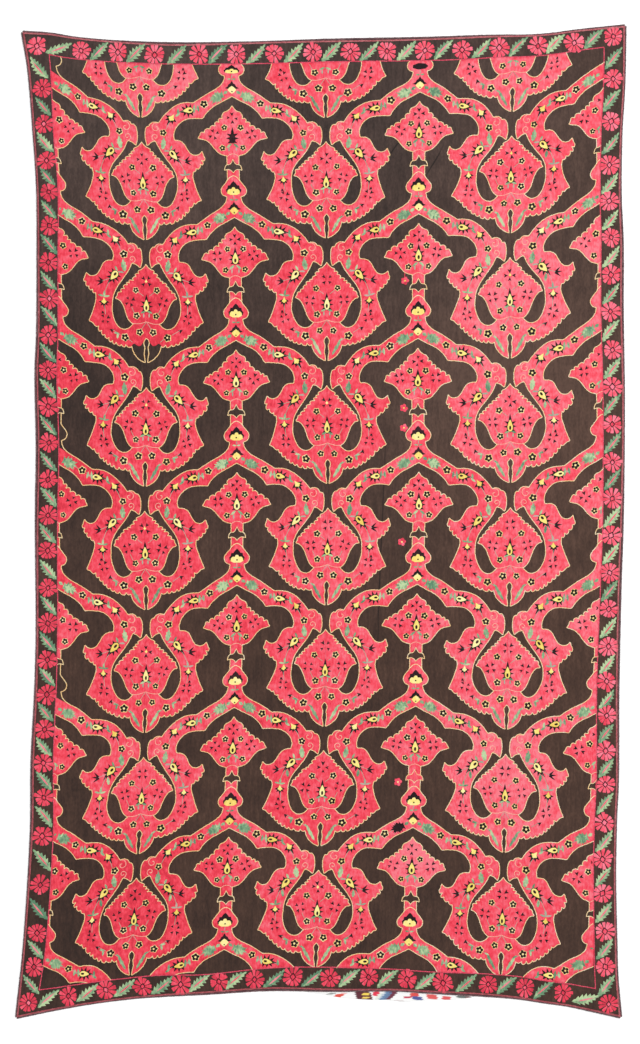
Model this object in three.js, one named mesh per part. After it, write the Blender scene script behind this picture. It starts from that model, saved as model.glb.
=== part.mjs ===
/**
 * Embroidered lattice cover, laid out flat, face up.
 *
 * A face cloth lies on a cotton lining, and a narrow braid is sewn along its four edges. The long
 * edges draw in between the corners, the corners stand out a little, and the lining sags past the
 * foot edge for part of its width. Millimetres, +Z up, the length along Y, face up. The origin is
 * the middle of the underside.
 */
import * as THREE from 'three';

// Driving dimensions, in millimetres.
const FACE_THICKNESS = 1.2;
const LINING_THICKNESS = 1;
const BRAID_WIDTH = 4;
const BRAID_HEIGHT = 2;
const BRAID_CHAMFER = 0.6;
const SEWN_GAP = 0.3;
const LINING_UNDER_BRAID = 1.5;
const HALF_WIDTH = 766;
const HALF_LENGTH = 1248;

const FACE_COLUMNS = 30;
const FACE_ROWS = 50;
const LINING_STATIONS = 40;

const FACE_UNDERSIDE = LINING_THICKNESS + SEWN_GAP;

// The four edges of the face. `along` is the place on the edge, `edge` is where the edge runs.
const HEAD_EDGE = [
  { along: -766, edge: 1231 },
  { along: -694, edge: 1226 },
  { along: -640, edge: 1217 },
  { along: -542, edge: 1208 },
  { along: -390, edge: 1202 },
  { along: -186, edge: 1204 },
  { along: 17, edge: 1211 },
  { along: 271, edge: 1216 },
  { along: 423, edge: 1221 },
  { along: 530, edge: 1222 },
  { along: 590, edge: 1227 },
  { along: 640, edge: 1234 },
  { along: 766, edge: 1247 },
];

const FOOT_EDGE = [
  { along: -766, edge: -1247 },
  { along: -681, edge: -1229 },
  { along: -580, edge: -1211 },
  { along: -478, edge: -1198 },
  { along: -378, edge: -1191 },
  { along: -276, edge: -1186 },
  { along: -124, edge: -1177 },
  { along: 28, edge: -1179 },
  { along: 191, edge: -1178 },
  { along: 286, edge: -1184 },
  { along: 483, edge: -1196 },
  { along: 585, edge: -1210 },
  { along: 635, edge: -1217 },
  { along: 686, edge: -1228 },
  { along: 766, edge: -1246 },
];

const LEFT_EDGE = [
  { along: -1248, edge: -765 },
  { along: -1060, edge: -745 },
  { along: -780, edge: -728 },
  { along: -600, edge: -726 },
  { along: -400, edge: -716 },
  { along: -250, edge: -713 },
  { along: 0, edge: -715 },
  { along: 200, edge: -713 },
  { along: 385, edge: -716 },
  { along: 480, edge: -712 },
  { along: 661, edge: -711 },
  { along: 850, edge: -712 },
  { along: 990, edge: -721 },
  { along: 1149, edge: -734 },
  { along: 1248, edge: -750 },
];

const RIGHT_EDGE = [
  { along: -1248, edge: 754 },
  { along: -1150, edge: 745 },
  { along: -1060, edge: 742 },
  { along: -900, edge: 739 },
  { along: -760, edge: 741 },
  { along: -650, edge: 746 },
  { along: -430, edge: 747 },
  { along: -150, edge: 753 },
  { along: 0, edge: 758 },
  { along: 300, edge: 761 },
  { along: 530, edge: 758 },
  { along: 700, edge: 758 },
  { along: 825, edge: 753 },
  { along: 980, edge: 755 },
  { along: 1097, edge: 762 },
  { along: 1248, edge: 765 },
];

// How far the lining sags out past the foot edge, as `drop` at places along that edge.
const LINING_SAG = [
  { along: -45, drop: 0 },
  { along: 18, drop: 8 },
  { along: 61, drop: 15 },
  { along: 111, drop: 19 },
  { along: 161, drop: 21 },
  { along: 207, drop: 24 },
  { along: 270, drop: 16 },
  { along: 338, drop: 10 },
  { along: 392, drop: 0 },
];

// Soft ridges in the face: middle, length, half-width, height, and degrees of lean from the length.
const RIDGES = [
  { x: 165, y: 4, long: 640, wide: 26, high: 3.2, lean: -3 },
  { x: 190, y: 935, long: 150, wide: 22, high: 2.4, lean: 36 },
  { x: 292, y: 902, long: 110, wide: 20, high: 2, lean: 30 },
  { x: -278, y: 855, long: 170, wide: 24, high: 1.8, lean: 38 },
  { x: 622, y: 372, long: 300, wide: 34, high: 2, lean: -6 },
  { x: 648, y: -372, long: 260, wide: 60, high: 2.6, lean: 12 },
  { x: 175, y: -915, long: 240, wide: 30, high: 2, lean: -9 },
  { x: -655, y: -940, long: 420, wide: 62, high: 2.4, lean: 4 },
  { x: -650, y: 420, long: 520, wide: 56, high: 2, lean: 2 },
  { x: -60, y: 1080, long: 150, wide: 30, high: 2.2, lean: 3 },
  { x: -330, y: -330, long: 380, wide: 44, high: 1.8, lean: 5 },
  { x: 420, y: -820, long: 260, wide: 48, high: 1.8, lean: -40 },
];

const cloth = (color, roughness) => new THREE.MeshStandardMaterial({ color, roughness, metalness: 0 });

/** The value of a table's second column at a place along its first, on a smooth curve through its rows. */
function smoothRead(table, column, along) {
  const last = table.length - 1;
  const slope = (row) => {
    const before = table[Math.max(row - 1, 0)];
    const after = table[Math.min(row + 1, last)];
    return (after[column] - before[column]) / (after.along - before.along);
  };
  const clamped = THREE.MathUtils.clamp(along, table[0].along, table[last].along);
  const found = table.findIndex((row) => row.along > clamped);
  const next = found < 0 ? last : found;
  const start = table[next - 1];
  const end = table[next];
  const span = end.along - start.along;
  const t = (clamped - start.along) / span;
  const rise = t * t * (3 - 2 * t);
  const leave = t * (1 - t) * (1 - t);
  const arrive = t * t * (t - 1);
  const chord = THREE.MathUtils.lerp(start[column], end[column], rise);
  return chord + span * (leave * slope(next - 1) + arrive * slope(next));
}

/** A point of the face in plan. `across` and `up` run from -1 to 1, from left to right and from foot to head. */
function facePoint(across, up) {
  const left = smoothRead(LEFT_EDGE, 'edge', up * HALF_LENGTH);
  const right = smoothRead(RIGHT_EDGE, 'edge', up * HALF_LENGTH);
  const foot = smoothRead(FOOT_EDGE, 'edge', across * HALF_WIDTH);
  const head = smoothRead(HEAD_EDGE, 'edge', across * HALF_WIDTH);
  return new THREE.Vector2(
    THREE.MathUtils.lerp(left, right, (across + 1) / 2),
    THREE.MathUtils.lerp(foot, head, (up + 1) / 2),
  );
}

/** How far the face stands up from its flat bed at a point, from the ridges that run under it. */
function ridgeHeight(point) {
  let height = 0;
  for (const ridge of RIDGES) {
    const lean = THREE.MathUtils.degToRad(ridge.lean);
    const dx = point.x - ridge.x;
    const dy = point.y - ridge.y;
    const lengthwise = (dx * Math.sin(lean) + dy * Math.cos(lean)) / (ridge.long / 2);
    const crosswise = (dx * Math.cos(lean) - dy * Math.sin(lean)) / ridge.wide;
    const fade = Math.max(0, 1 - lengthwise * lengthwise);
    height += ridge.high * fade * fade * Math.exp(-crosswise * crosswise);
  }
  return height;
}

/** Even stations from -1 to 1. */
function stations(count) {
  return Array.from({ length: count + 1 }, (_, step) => -1 + (2 * step) / count);
}

/** The face's columns: even ones, and closer ones over the longest ridge. */
function faceColumns() {
  const ridge = RIDGES[0];
  const close = [-1, -0.35, 0.35, 1].map((step) => (ridge.x + step * ridge.wide) / HALF_WIDTH);
  const nearest = ridge.wide / HALF_WIDTH;
  const even = stations(FACE_COLUMNS).filter((across) => {
    return close.every((other) => Math.abs(other - across) > nearest / 2);
  });
  return [...even, ...close].sort((a, b) => a - b);
}

/** A closed solid from corner points and the faces that join them, each face a list of corners. */
function solidFromFaces(corners, faces) {
  const index = [];
  for (const face of faces) {
    for (let step = 1; step < face.length - 1; step += 1) {
      index.push(face[0], face[step], face[step + 1]);
    }
  }
  const geometry = new THREE.BufferGeometry();
  geometry.setAttribute('position', new THREE.Float32BufferAttribute(corners.flat(), 3));
  geometry.setIndex(index);
  geometry.computeVertexNormals();
  return geometry;
}

/** The face cloth: an even-thickness sheet on a grid, raised by its ridges. */
function faceGeometry() {
  const columns = faceColumns();
  const rows = stations(FACE_ROWS);
  const corners = [];
  for (const layer of [FACE_UNDERSIDE, FACE_UNDERSIDE + FACE_THICKNESS]) {
    for (const up of rows) {
      for (const across of columns) {
        const point = facePoint(across, up);
        corners.push([point.x, point.y, layer + ridgeHeight(point)]);
      }
    }
  }
  const corner = (layer, row, column) => (layer * rows.length + row) * columns.length + column;
  const faces = [];
  const lastRow = rows.length - 1;
  const lastColumn = columns.length - 1;
  for (let row = 0; row < lastRow; row += 1) {
    for (let column = 0; column < lastColumn; column += 1) {
      const square = (layer) => [
        corner(layer, row, column),
        corner(layer, row, column + 1),
        corner(layer, row + 1, column + 1),
        corner(layer, row + 1, column),
      ];
      faces.push(square(1), square(0).reverse());
    }
  }
  const wall = (rowA, columnA, rowB, columnB) => {
    faces.push([
      corner(0, rowA, columnA),
      corner(0, rowB, columnB),
      corner(1, rowB, columnB),
      corner(1, rowA, columnA),
    ]);
  };
  for (let column = 0; column < lastColumn; column += 1) {
    wall(0, column, 0, column + 1);
    wall(lastRow, column + 1, lastRow, column);
  }
  for (let row = 0; row < lastRow; row += 1) {
    wall(row, lastColumn, row + 1, lastColumn);
    wall(row + 1, 0, row, 0);
  }
  return solidFromFaces(corners, faces);
}

// The four sides in turn, anticlockwise from the foot. `at` runs along each from -1 to 1.
const SIDES = [
  { name: 'foot', at: (t) => facePoint(t, -1), steps: FACE_COLUMNS },
  { name: 'right', at: (t) => facePoint(1, t), steps: FACE_ROWS },
  { name: 'head', at: (t) => facePoint(-t, 1), steps: FACE_COLUMNS },
  { name: 'left', at: (t) => facePoint(-1, -t), steps: FACE_ROWS },
];

/** The direction along a side, and the direction out of the cloth, at one of its stations. */
function sideDirections(side, t) {
  const near = 0.002;
  const before = side.at(Math.max(t - near, -1));
  const after = side.at(Math.min(t + near, 1));
  const along = after.sub(before).normalize();
  return { along, out: new THREE.Vector2(along.y, -along.x) };
}

/** The direction that keeps an even margin round the corner between two sides. */
function cornerDirection(side, next) {
  const first = sideDirections(side, 1).out;
  const second = sideDirections(next, -1).out;
  const spread = 1 + first.dot(second);
  return first.add(second).divideScalar(spread);
}

/** One side's braid: a bar with eased top edges, mitred at both corners. */
function braidGeometry(sideNumber) {
  const side = SIDES[sideNumber];
  const before = SIDES[(sideNumber + 3) % 4];
  const after = SIDES[(sideNumber + 1) % 4];
  const places = stations(side.steps);
  const corners = [];
  for (const t of places) {
    const edge = side.at(t);
    const { along, out } = sideDirections(side, t);
    let margin = out;
    if (t === -1) {
      margin = cornerDirection(before, side);
      edge.addScaledVector(along, SEWN_GAP);
    }
    if (t === 1) {
      margin = cornerDirection(side, after);
      edge.addScaledVector(along, -SEWN_GAP);
    }
    const floor = FACE_UNDERSIDE + ridgeHeight(edge);
    const section = [
      [SEWN_GAP, 0],
      [SEWN_GAP + BRAID_WIDTH, 0],
      [SEWN_GAP + BRAID_WIDTH, BRAID_HEIGHT - BRAID_CHAMFER],
      [SEWN_GAP + BRAID_WIDTH - BRAID_CHAMFER, BRAID_HEIGHT],
      [SEWN_GAP + BRAID_CHAMFER, BRAID_HEIGHT],
      [SEWN_GAP, BRAID_HEIGHT - BRAID_CHAMFER],
    ];
    for (const [outward, height] of section) {
      corners.push([edge.x + margin.x * outward, edge.y + margin.y * outward, floor + height]);
    }
  }
  const around = 6;
  const ring = (station, corner) => station * around + (corner % around);
  const faces = [];
  for (let station = 0; station < side.steps; station += 1) {
    for (let corner = 0; corner < around; corner += 1) {
      faces.push([
        ring(station, corner),
        ring(station + 1, corner),
        ring(station + 1, corner + 1),
        ring(station, corner + 1),
      ]);
    }
  }
  const cap = (station) => Array.from({ length: around }, (_, corner) => ring(station, corner));
  faces.push(cap(0), cap(side.steps).reverse());
  return solidFromFaces(corners, faces);
}

/** The lining: a flat cotton sheet under the face, out to the middle of the braid, and past it at the sag. */
function liningGeometry() {
  const outline = new THREE.Shape();
  const points = [];
  SIDES.forEach((side, number) => {
    const after = SIDES[(number + 1) % 4];
    const places = stations(LINING_STATIONS).slice(1);
    for (const t of places) {
      const edge = side.at(t);
      const out = t === 1 ? cornerDirection(side, after) : sideDirections(side, t).out;
      const sag = side.name === 'foot' ? smoothRead(LINING_SAG, 'drop', edge.x) : 0;
      const reach = LINING_UNDER_BRAID + Math.max(0, sag + (sag > 0 ? BRAID_WIDTH : 0));
      points.push(edge.addScaledVector(out, reach));
    }
  });
  outline.setFromPoints(points);
  return new THREE.ExtrudeGeometry(outline, { depth: LINING_THICKNESS, bevelEnabled: false });
}

const faceCloth = cloth(0x503d36, 0.85);
const liningCloth = cloth(0xe9e4dc, 0.9);
const braidCord = cloth(0x553c41, 0.8);

function piece(name, geometry, material) {
  const mesh = new THREE.Mesh(geometry, material);
  mesh.name = name;
  return mesh;
}

const cover = new THREE.Group();
cover.add(piece('face', faceGeometry(), faceCloth));
cover.add(piece('lining', liningGeometry(), liningCloth));
SIDES.forEach((side, number) => {
  cover.add(piece(`braid_${side.name}`, braidGeometry(number), braidCord));
});

export default cover;
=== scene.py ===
# %% [markdown]
# # An embroidered lattice cover, laid flat
# The real thing is one dark cloth, worked all over in silk and backed with a printed cotton lining, with
# a narrow braid round its edge. A picture on a plane would be quick, but it would have no relief and
# would blur close up. So each thread colour is a mesh of its own that stands on the cloth: laid fills,
# small raised leaves and petals, and outlines made of single chain stitches. All lengths below are in
# millimetres, and turn into metres only where a mesh is made.

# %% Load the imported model, which is the fixed frame
import math

import bpy
import numpy as np
from mathutils.geometry import delaunay_2d_cdt
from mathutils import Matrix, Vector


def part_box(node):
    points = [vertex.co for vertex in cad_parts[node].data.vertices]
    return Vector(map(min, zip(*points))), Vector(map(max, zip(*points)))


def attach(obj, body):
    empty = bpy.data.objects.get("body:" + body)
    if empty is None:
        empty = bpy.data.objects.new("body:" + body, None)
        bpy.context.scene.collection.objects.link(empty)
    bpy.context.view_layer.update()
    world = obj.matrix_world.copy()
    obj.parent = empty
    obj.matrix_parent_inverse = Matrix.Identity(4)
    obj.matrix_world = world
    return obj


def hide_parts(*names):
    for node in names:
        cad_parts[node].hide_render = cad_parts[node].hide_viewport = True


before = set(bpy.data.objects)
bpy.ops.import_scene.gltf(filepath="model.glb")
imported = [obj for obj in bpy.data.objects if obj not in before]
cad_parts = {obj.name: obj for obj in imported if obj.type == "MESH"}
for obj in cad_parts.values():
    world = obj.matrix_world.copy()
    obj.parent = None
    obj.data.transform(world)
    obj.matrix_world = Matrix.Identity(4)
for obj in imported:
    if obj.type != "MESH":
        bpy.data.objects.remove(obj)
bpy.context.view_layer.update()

MM = 0.001
print("frame nodes:", sorted(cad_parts))

# %% [markdown]
# ## The cloth's edge
# A hand-stitched cover is never a true rectangle: the long edges draw in, and the corners, pulled by the
# braid, stand out. The same four edge lines as in the solid are read here from short tables, on a smooth
# curve through their rows, so the fine cloth fits its solid to a fraction of a millimetre.

# %% The four edges and the ridges, as in the solid
HALF_WIDTH = 766
HALF_LENGTH = 1248
SEWN_GAP = 0.3
FACE_THICKNESS = 1.2

# place along the edge, where the edge runs
HEAD_EDGE = [(-766, 1231), (-694, 1226), (-640, 1217), (-542, 1208), (-390, 1202), (-186, 1204), (17, 1211),
             (271, 1216), (423, 1221), (530, 1222), (590, 1227), (640, 1234), (766, 1247)]
FOOT_EDGE = [(-766, -1247), (-681, -1229), (-580, -1211), (-478, -1198), (-378, -1191), (-276, -1186),
             (-124, -1177), (28, -1179), (191, -1178), (286, -1184), (483, -1196), (585, -1210),
             (635, -1217), (686, -1228), (766, -1246)]
LEFT_EDGE = [(-1248, -765), (-1060, -745), (-780, -728), (-600, -726), (-400, -716), (-250, -713),
             (0, -715), (200, -713), (385, -716), (480, -712), (661, -711), (850, -712), (990, -721),
             (1149, -734), (1248, -750)]
RIGHT_EDGE = [(-1248, 754), (-1150, 745), (-1060, 742), (-900, 739), (-760, 741), (-650, 746), (-430, 747),
              (-150, 753), (0, 758), (300, 761), (530, 758), (700, 758), (825, 753), (980, 755),
              (1097, 762), (1248, 765)]

# middle x and y, length, half-width, height, and lean from the length in degrees
RIDGES = [(165, 4, 640, 26, 3.2, -3), (190, 935, 150, 22, 2.4, 36), (292, 902, 110, 20, 2.0, 30),
          (-278, 855, 170, 24, 1.8, 38), (622, 372, 300, 34, 2.0, -6), (648, -372, 260, 60, 2.6, 12),
          (175, -915, 240, 30, 2.0, -9), (-655, -940, 420, 62, 2.4, 4), (-650, 420, 520, 56, 2.0, 2),
          (-60, 1080, 150, 30, 2.2, 3), (-330, -330, 380, 44, 1.8, 5), (420, -820, 260, 48, 1.8, -40)]


# %% A smooth curve through a table, and any place on the cloth
def read_table(rows, places):
    """The value at each place, on a smooth curve through a table of (place, value) rows."""
    along, value = np.array(rows, float).T
    last = len(along) - 1
    places = np.clip(np.asarray(places, float), along[0], along[-1])
    after = np.clip(np.searchsorted(along, places, side="right"), 1, last)
    before = after - 1
    ahead = np.minimum(np.arange(last + 1) + 1, last)
    behind = np.maximum(np.arange(last + 1) - 1, 0)
    slope = (value[ahead] - value[behind]) / (along[ahead] - along[behind])
    span = along[after] - along[before]
    t = (places - along[before]) / span
    rise = t * t * (3 - 2 * t)
    chord = value[before] + (value[after] - value[before]) * rise
    return chord + span * (t * (1 - t) ** 2 * slope[before] + t * t * (t - 1) * slope[after])


def face_point(across, up):
    """Points of the cloth in plan. across and up run from -1 to 1, left to right and foot to head."""
    left = read_table(LEFT_EDGE, up * HALF_LENGTH)
    right = read_table(RIGHT_EDGE, up * HALF_LENGTH)
    foot = read_table(FOOT_EDGE, across * HALF_WIDTH)
    head = read_table(HEAD_EDGE, across * HALF_WIDTH)
    x = left + (right - left) * (across + 1) / 2
    y = foot + (head - foot) * (up + 1) / 2
    return np.stack([x, y], -1)


across_middle = read_table(RIGHT_EDGE, 0) - read_table(LEFT_EDGE, 0)
down_middle = read_table(HEAD_EDGE, 0) - read_table(FOOT_EDGE, 0)
print("through the middle:", round(float(across_middle)), "by", round(float(down_middle)), "mm")

# %% [markdown]
# ## How the cloth lies
# Flat cloth still has soft ridges where it was folded and where stitching gathers it. One height function
# serves the cloth and every stitch on it, so nothing floats or sinks. A cloth simulation would settle such
# a sheet to nothing, because it already lies on the floor, so the ridges are listed.

# %% One height for the cloth's top, anywhere on it
LINING_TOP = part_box("lining")[1].z / MM
FACE_UNDERSIDE = LINING_TOP + SEWN_GAP
RIPPLE = 0.35


def ridge_height(x, y):
    """How far the ridges lift the cloth."""
    height = np.zeros_like(x)
    for ridge_x, ridge_y, long, wide, high, lean_degrees in RIDGES:
        lean = math.radians(lean_degrees)
        dx = x - ridge_x
        dy = y - ridge_y
        lengthwise = (dx * math.sin(lean) + dy * math.cos(lean)) / (long / 2)
        crosswise = (dx * math.cos(lean) - dy * math.sin(lean)) / wide
        fade = np.maximum(0, 1 - lengthwise**2)
        height += high * fade**2 * np.exp(-(crosswise**2))
    return height


def bed(x, y):
    """The cloth's underside: the ridges and a slight ripple."""
    ripple = np.sin(x / 61 + np.sin(y / 83)) * np.sin(y / 97 + 1.7 * np.sin(x / 113))
    return FACE_UNDERSIDE + ridge_height(x, y) + RIPPLE * (1 + ripple)


def lie(x, y):
    """The cloth's top."""
    return bed(x, y) + FACE_THICKNESS


print("face underside", round(FACE_UNDERSIDE, 2), "mm, tallest ridge", max(r[4] for r in RIDGES), "mm")

# %% [markdown]
# ## Making a mesh
# There are tens of thousands of stitches, so meshes are filled from arrays in one go instead of face by
# face. Each gets a flat UV map over the whole piece, because it all faces up, and a "tone" on every point:
# how deep or pale that bit of silk was dyed, and on the ground cloth, patches of painted light and shade.


def make_mesh(name, points, triangles, material, tone=None):
    """A piece from points in millimetres, triangles, and a tone for each point."""
    points = np.asarray(points, np.float32)
    corners = np.asarray(triangles, np.int32)
    mesh = bpy.data.meshes.new(name)
    mesh.vertices.add(len(points))
    mesh.vertices.foreach_set("co", (points * MM).ravel())
    mesh.loops.add(corners.size)
    mesh.loops.foreach_set("vertex_index", corners.ravel())
    mesh.polygons.add(len(corners))
    mesh.polygons.foreach_set("loop_start", np.arange(0, corners.size, 3, dtype=np.int32))
    mesh.update(calc_edges=True)
    mesh.polygons.foreach_set("use_smooth", np.ones(len(corners), bool))
    low = points[:, :2].min(0)
    span = points[:, :2].max(0) - low
    flat_map = mesh.uv_layers.new(name="OFBake")
    flat_map.data.foreach_set("uv", ((points[:, :2] - low) / span)[corners.ravel()].ravel())
    shade = mesh.attributes.new("tone", "FLOAT", "POINT")
    values = np.zeros(len(points)) if tone is None else tone
    shade.data.foreach_set("value", np.asarray(values, np.float32))
    mesh.materials.append(material)
    piece = bpy.data.objects.new(name, mesh)
    bpy.context.scene.collection.objects.link(piece)
    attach(piece, "root")
    return piece


# %% A sheet from a grid
def around(grid):
    """The outermost entries of a grid, once round."""
    return np.concatenate([grid[0, :-1], grid[:-1, -1], grid[-1, :0:-1], grid[:0:-1, 0]])


def grid_solid(plan, low, high):
    """Points and triangles of a closed sheet on a grid of plan points, between two height functions."""
    rows, columns = plan.shape[:2]
    flat = plan.reshape(-1, 2)
    x, y = flat.T
    points = np.vstack([np.column_stack([flat, low(x, y)]), np.column_stack([flat, high(x, y)])])
    number = np.arange(rows * columns).reshape(rows, columns)
    a, b = number[:-1, :-1].ravel(), number[:-1, 1:].ravel()
    c, d = number[1:, 1:].ravel(), number[1:, :-1].ravel()
    top = rows * columns
    sheets = [np.c_[a, c, b], np.c_[a, d, c], np.c_[a, b, c] + top, np.c_[a, c, d] + top]
    rim = around(number)
    ahead = np.roll(rim, -1)
    walls = [np.c_[rim, ahead, ahead + top], np.c_[rim, ahead + top, rim + top]]
    return points, np.vstack(sheets + walls)


# %% [markdown]
# ## Finishes
# Cotton shows its weave and soaks up light. Silk thread lies in rows, so it has a soft lustre and a fine
# rib, and hand dyeing makes each length a little deeper or paler. The same few nodes do both: a tone from
# the mesh and soft noises choose a colour between a deep and a pale one, and threads are a bump.


# %% Colour and node helpers
# the studio's lights make a dye this much brighter
STUDIO_LIGHT = 1.33


def dye(red, green, blue):
    """A colour named as 0 to 255, as the light value that a shader works in."""
    parts = [part / 255 for part in (red, green, blue)]
    light = [p / 12.92 if p <= 0.04045 else ((p + 0.055) / 1.055) ** 2.4 for p in parts]
    return (*[value / STUDIO_LIGHT for value in light], 1.0)


def add_node(tree, kind, settings=(), **inputs):
    """A node. Its inputs are values or other nodes' outputs, each by its name, or by i and its number."""
    made_node = tree.nodes.new(kind)
    for key, value in dict(settings).items():
        setattr(made_node, key, value)
    for key, value in inputs.items():
        numbered = key[0] == "i" and key[1:].isdigit()
        socket = made_node.inputs[int(key[1:]) if numbered else key]
        if isinstance(value, bpy.types.NodeSocket):
            tree.links.new(value, socket)
        else:
            socket.default_value = value
    return made_node


SHEEN_ROUGHNESS = 0.5


def new_material(name, roughness, sheen, lustre):
    """A material with its shader, whose constant numbers sit on the shader's own sockets."""
    material = bpy.data.materials.new(name)
    material.use_nodes = True
    tree = material.node_tree
    shader = tree.nodes["Principled BSDF"]
    shader.inputs["Roughness"].default_value = roughness
    shader.inputs["Sheen Weight"].default_value = sheen
    shader.inputs["Sheen Roughness"].default_value = SHEEN_ROUGHNESS
    shader.inputs["Specular IOR Level"].default_value = lustre
    return material, tree, shader


# %% Places, threads and noise
def object_place(tree):
    """Where on the piece a point lies."""
    return add_node(tree, "ShaderNodeTexCoord").outputs["Object"]


def on_points(tree, name, kind):
    """A number (Fac) or colour (Color) kept on the mesh's points."""
    return add_node(tree, "ShaderNodeAttribute", {"attribute_name": name}).outputs[kind]


# a wave texture of scale 1 repeats after this length
WAVE_UNIT = math.pi / 10


def threads(tree, where, period, axis, twist=0.0):
    """Parallel threads as a wave: period in millimetres, axis is the way that the wave runs."""
    settings = {"wave_type": "BANDS", "bands_direction": axis, "wave_profile": "SIN"}
    wave = add_node(tree, "ShaderNodeTexWave", settings, Vector=where, Distortion=twist, Detail=1.0)
    wave.inputs["Scale"].default_value = WAVE_UNIT / (period * MM)
    wave.inputs["Detail Scale"].default_value = 0.6
    return wave.outputs["Fac"]


def stretched(tree, where, y):
    """The place scaled along the cloth's length, so that a noise on it runs in streaks."""
    return add_node(tree, "ShaderNodeMapping", {}, Vector=where, Scale=(1, y, 1)).outputs[0]


def noise(tree, where, size, detail=3.0):
    """Soft noise whose patches are about size millimetres across."""
    spots = add_node(tree, "ShaderNodeTexNoise", {}, Vector=where, Detail=detail)
    spots.inputs["Scale"].default_value = 1 / (size * MM)
    return spots.outputs["Fac"]


# %% Arithmetic, colour ramps and bumps
def combine(tree, how, first, second):
    """Two numbers put together in one step of arithmetic."""
    return add_node(tree, "ShaderNodeMath", {"operation": how}, i0=first, i1=second).outputs[0]


def plus(tree, *numbers):
    """The sum of some numbers, from the first to the last."""
    total = numbers[0]
    for number in numbers[1:]:
        total = combine(tree, "ADD", total, number)
    return total


def minus(tree, first, second):
    """One number less another."""
    return combine(tree, "SUBTRACT", first, second)


def times(tree, first, second):
    """Two numbers multiplied."""
    return combine(tree, "MULTIPLY", first, second)


def larger(tree, first, second):
    """The larger of two numbers."""
    return combine(tree, "MAXIMUM", first, second)


def woven(tree, where, period):
    """A plain weave: threads both ways."""
    return times(tree, threads(tree, where, period, "X"), threads(tree, where, period, "Y"))


DEEP_END = 0.08
PALE_END = 0.92


def tone_ramp(tree, position, dyes):
    """A colour ramp through dyes from deep to pale."""
    ramp = add_node(tree, "ShaderNodeValToRGB", {}, Fac=position)
    places = np.linspace(DEEP_END, PALE_END, len(dyes))
    band = ramp.color_ramp.elements
    band[0].position = places[0]
    band[1].position = places[-1]
    for place in places[1:-1]:
        band.new(place)
    for stop, colour in zip(band, dyes):
        stop.color = dye(*colour)
    return ramp.outputs["Color"]


def roughen(tree, shader, relief, strength, depth):
    """Stands threads up from the surface, by a depth in millimetres."""
    bump = add_node(tree, "ShaderNodeBump", {}, Height=relief, Strength=strength, Distance=depth * MM)
    tree.links.new(bump.outputs[0], shader.inputs["Normal"])


# %% Silk, for fills and stitches
# sizes in millimetres of the streaks and clouds in a dye, and of the ties that hold laid silk down
STREAK = 4.5
CLOUD = 15.0
TIE_SPACING = 3.4
TONE_SHARE = 0.42
SILK_BUMP = 0.55
SILK_RELIEF = 0.16


def silk(name, dyes, rib=0.9, rib_axis="X", mottle=0.55, roughness=0.52, sheen=0.1, lustre=0.32):
    """Silk thread dyed from deep to pale, laid in rows."""
    material, tree, shader = new_material(name, roughness, sheen, lustre)
    where = object_place(tree)
    streaks = noise(tree, stretched(tree, where, 0.45), STREAK)
    cloudy = noise(tree, where, CLOUD, detail=4.0)
    mix = times(tree, plus(tree, streaks, cloudy), mottle)
    place = plus(tree, times(tree, on_points(tree, "tone", "Fac"), TONE_SHARE), mix, 0.5 - mottle)
    tree.links.new(tone_ramp(tree, place, dyes), shader.inputs["Base Color"])
    rows = threads(tree, where, rib, rib_axis, twist=1.2)
    ties = threads(tree, stretched(tree, where, 0.8), TIE_SPACING, "DIAGONAL", twist=2.0)
    roughen(tree, shader, plus(tree, rows, times(tree, ties, 0.5)), SILK_BUMP, SILK_RELIEF)
    return material


pink_silk = silk("pink_silk", [(214, 24, 54), (238, 47, 72), (243, 70, 91), (245, 93, 111), (247, 118, 132)],
                 rib=1.1, mottle=1.2)
red_silk = silk("red_silk", [(190, 36, 66), (214, 54, 84), (234, 86, 112)], mottle=0.8)
petal_silk = silk("petal_silk", [(204, 30, 62), (236, 52, 80), (246, 84, 108), (252, 122, 144)], mottle=0.9)
cream_silk = silk("cream_silk", [(255, 206, 138), (255, 224, 168), (255, 240, 208)], rib=0.8)
petal_cream = silk("petal_cream_silk", [(240, 214, 128), (252, 230, 154), (255, 240, 184)], rib=0.8)
rose_silk = silk("faded_rose_silk", [(166, 64, 74), (196, 92, 100), (222, 128, 134)])
thin_silk = silk("thin_cream_silk", [(240, 150, 140), (250, 180, 156), (252, 204, 176)], rib=0.8)
yellow_silk = silk("yellow_silk", [(240, 204, 90), (253, 230, 124), (255, 243, 170)], mottle=0.8)
green_silk = silk("green_silk", [(84, 130, 97), (132, 168, 125), (186, 210, 158)], mottle=1.2)
stem_silk = silk("stem_silk", [(130, 156, 132), (176, 170, 150), (205, 168, 160)])
black_silk = silk("black_silk", [(22, 9, 13), (34, 16, 20), (56, 28, 32)], sheen=0.02, lustre=0.12)


# %% The dark ground cloth
# middle, length and lean of each sharp fold, along the left foot of a ridge, where a dark line of painted
# shade goes
FOLDS = [(150.5, -100, 680, 2.2), (182, 935, 150, 36), (284, 902, 110, 30)]
FOLD_WIDTH = 2.6
FOLD_WANDER = 6


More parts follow.
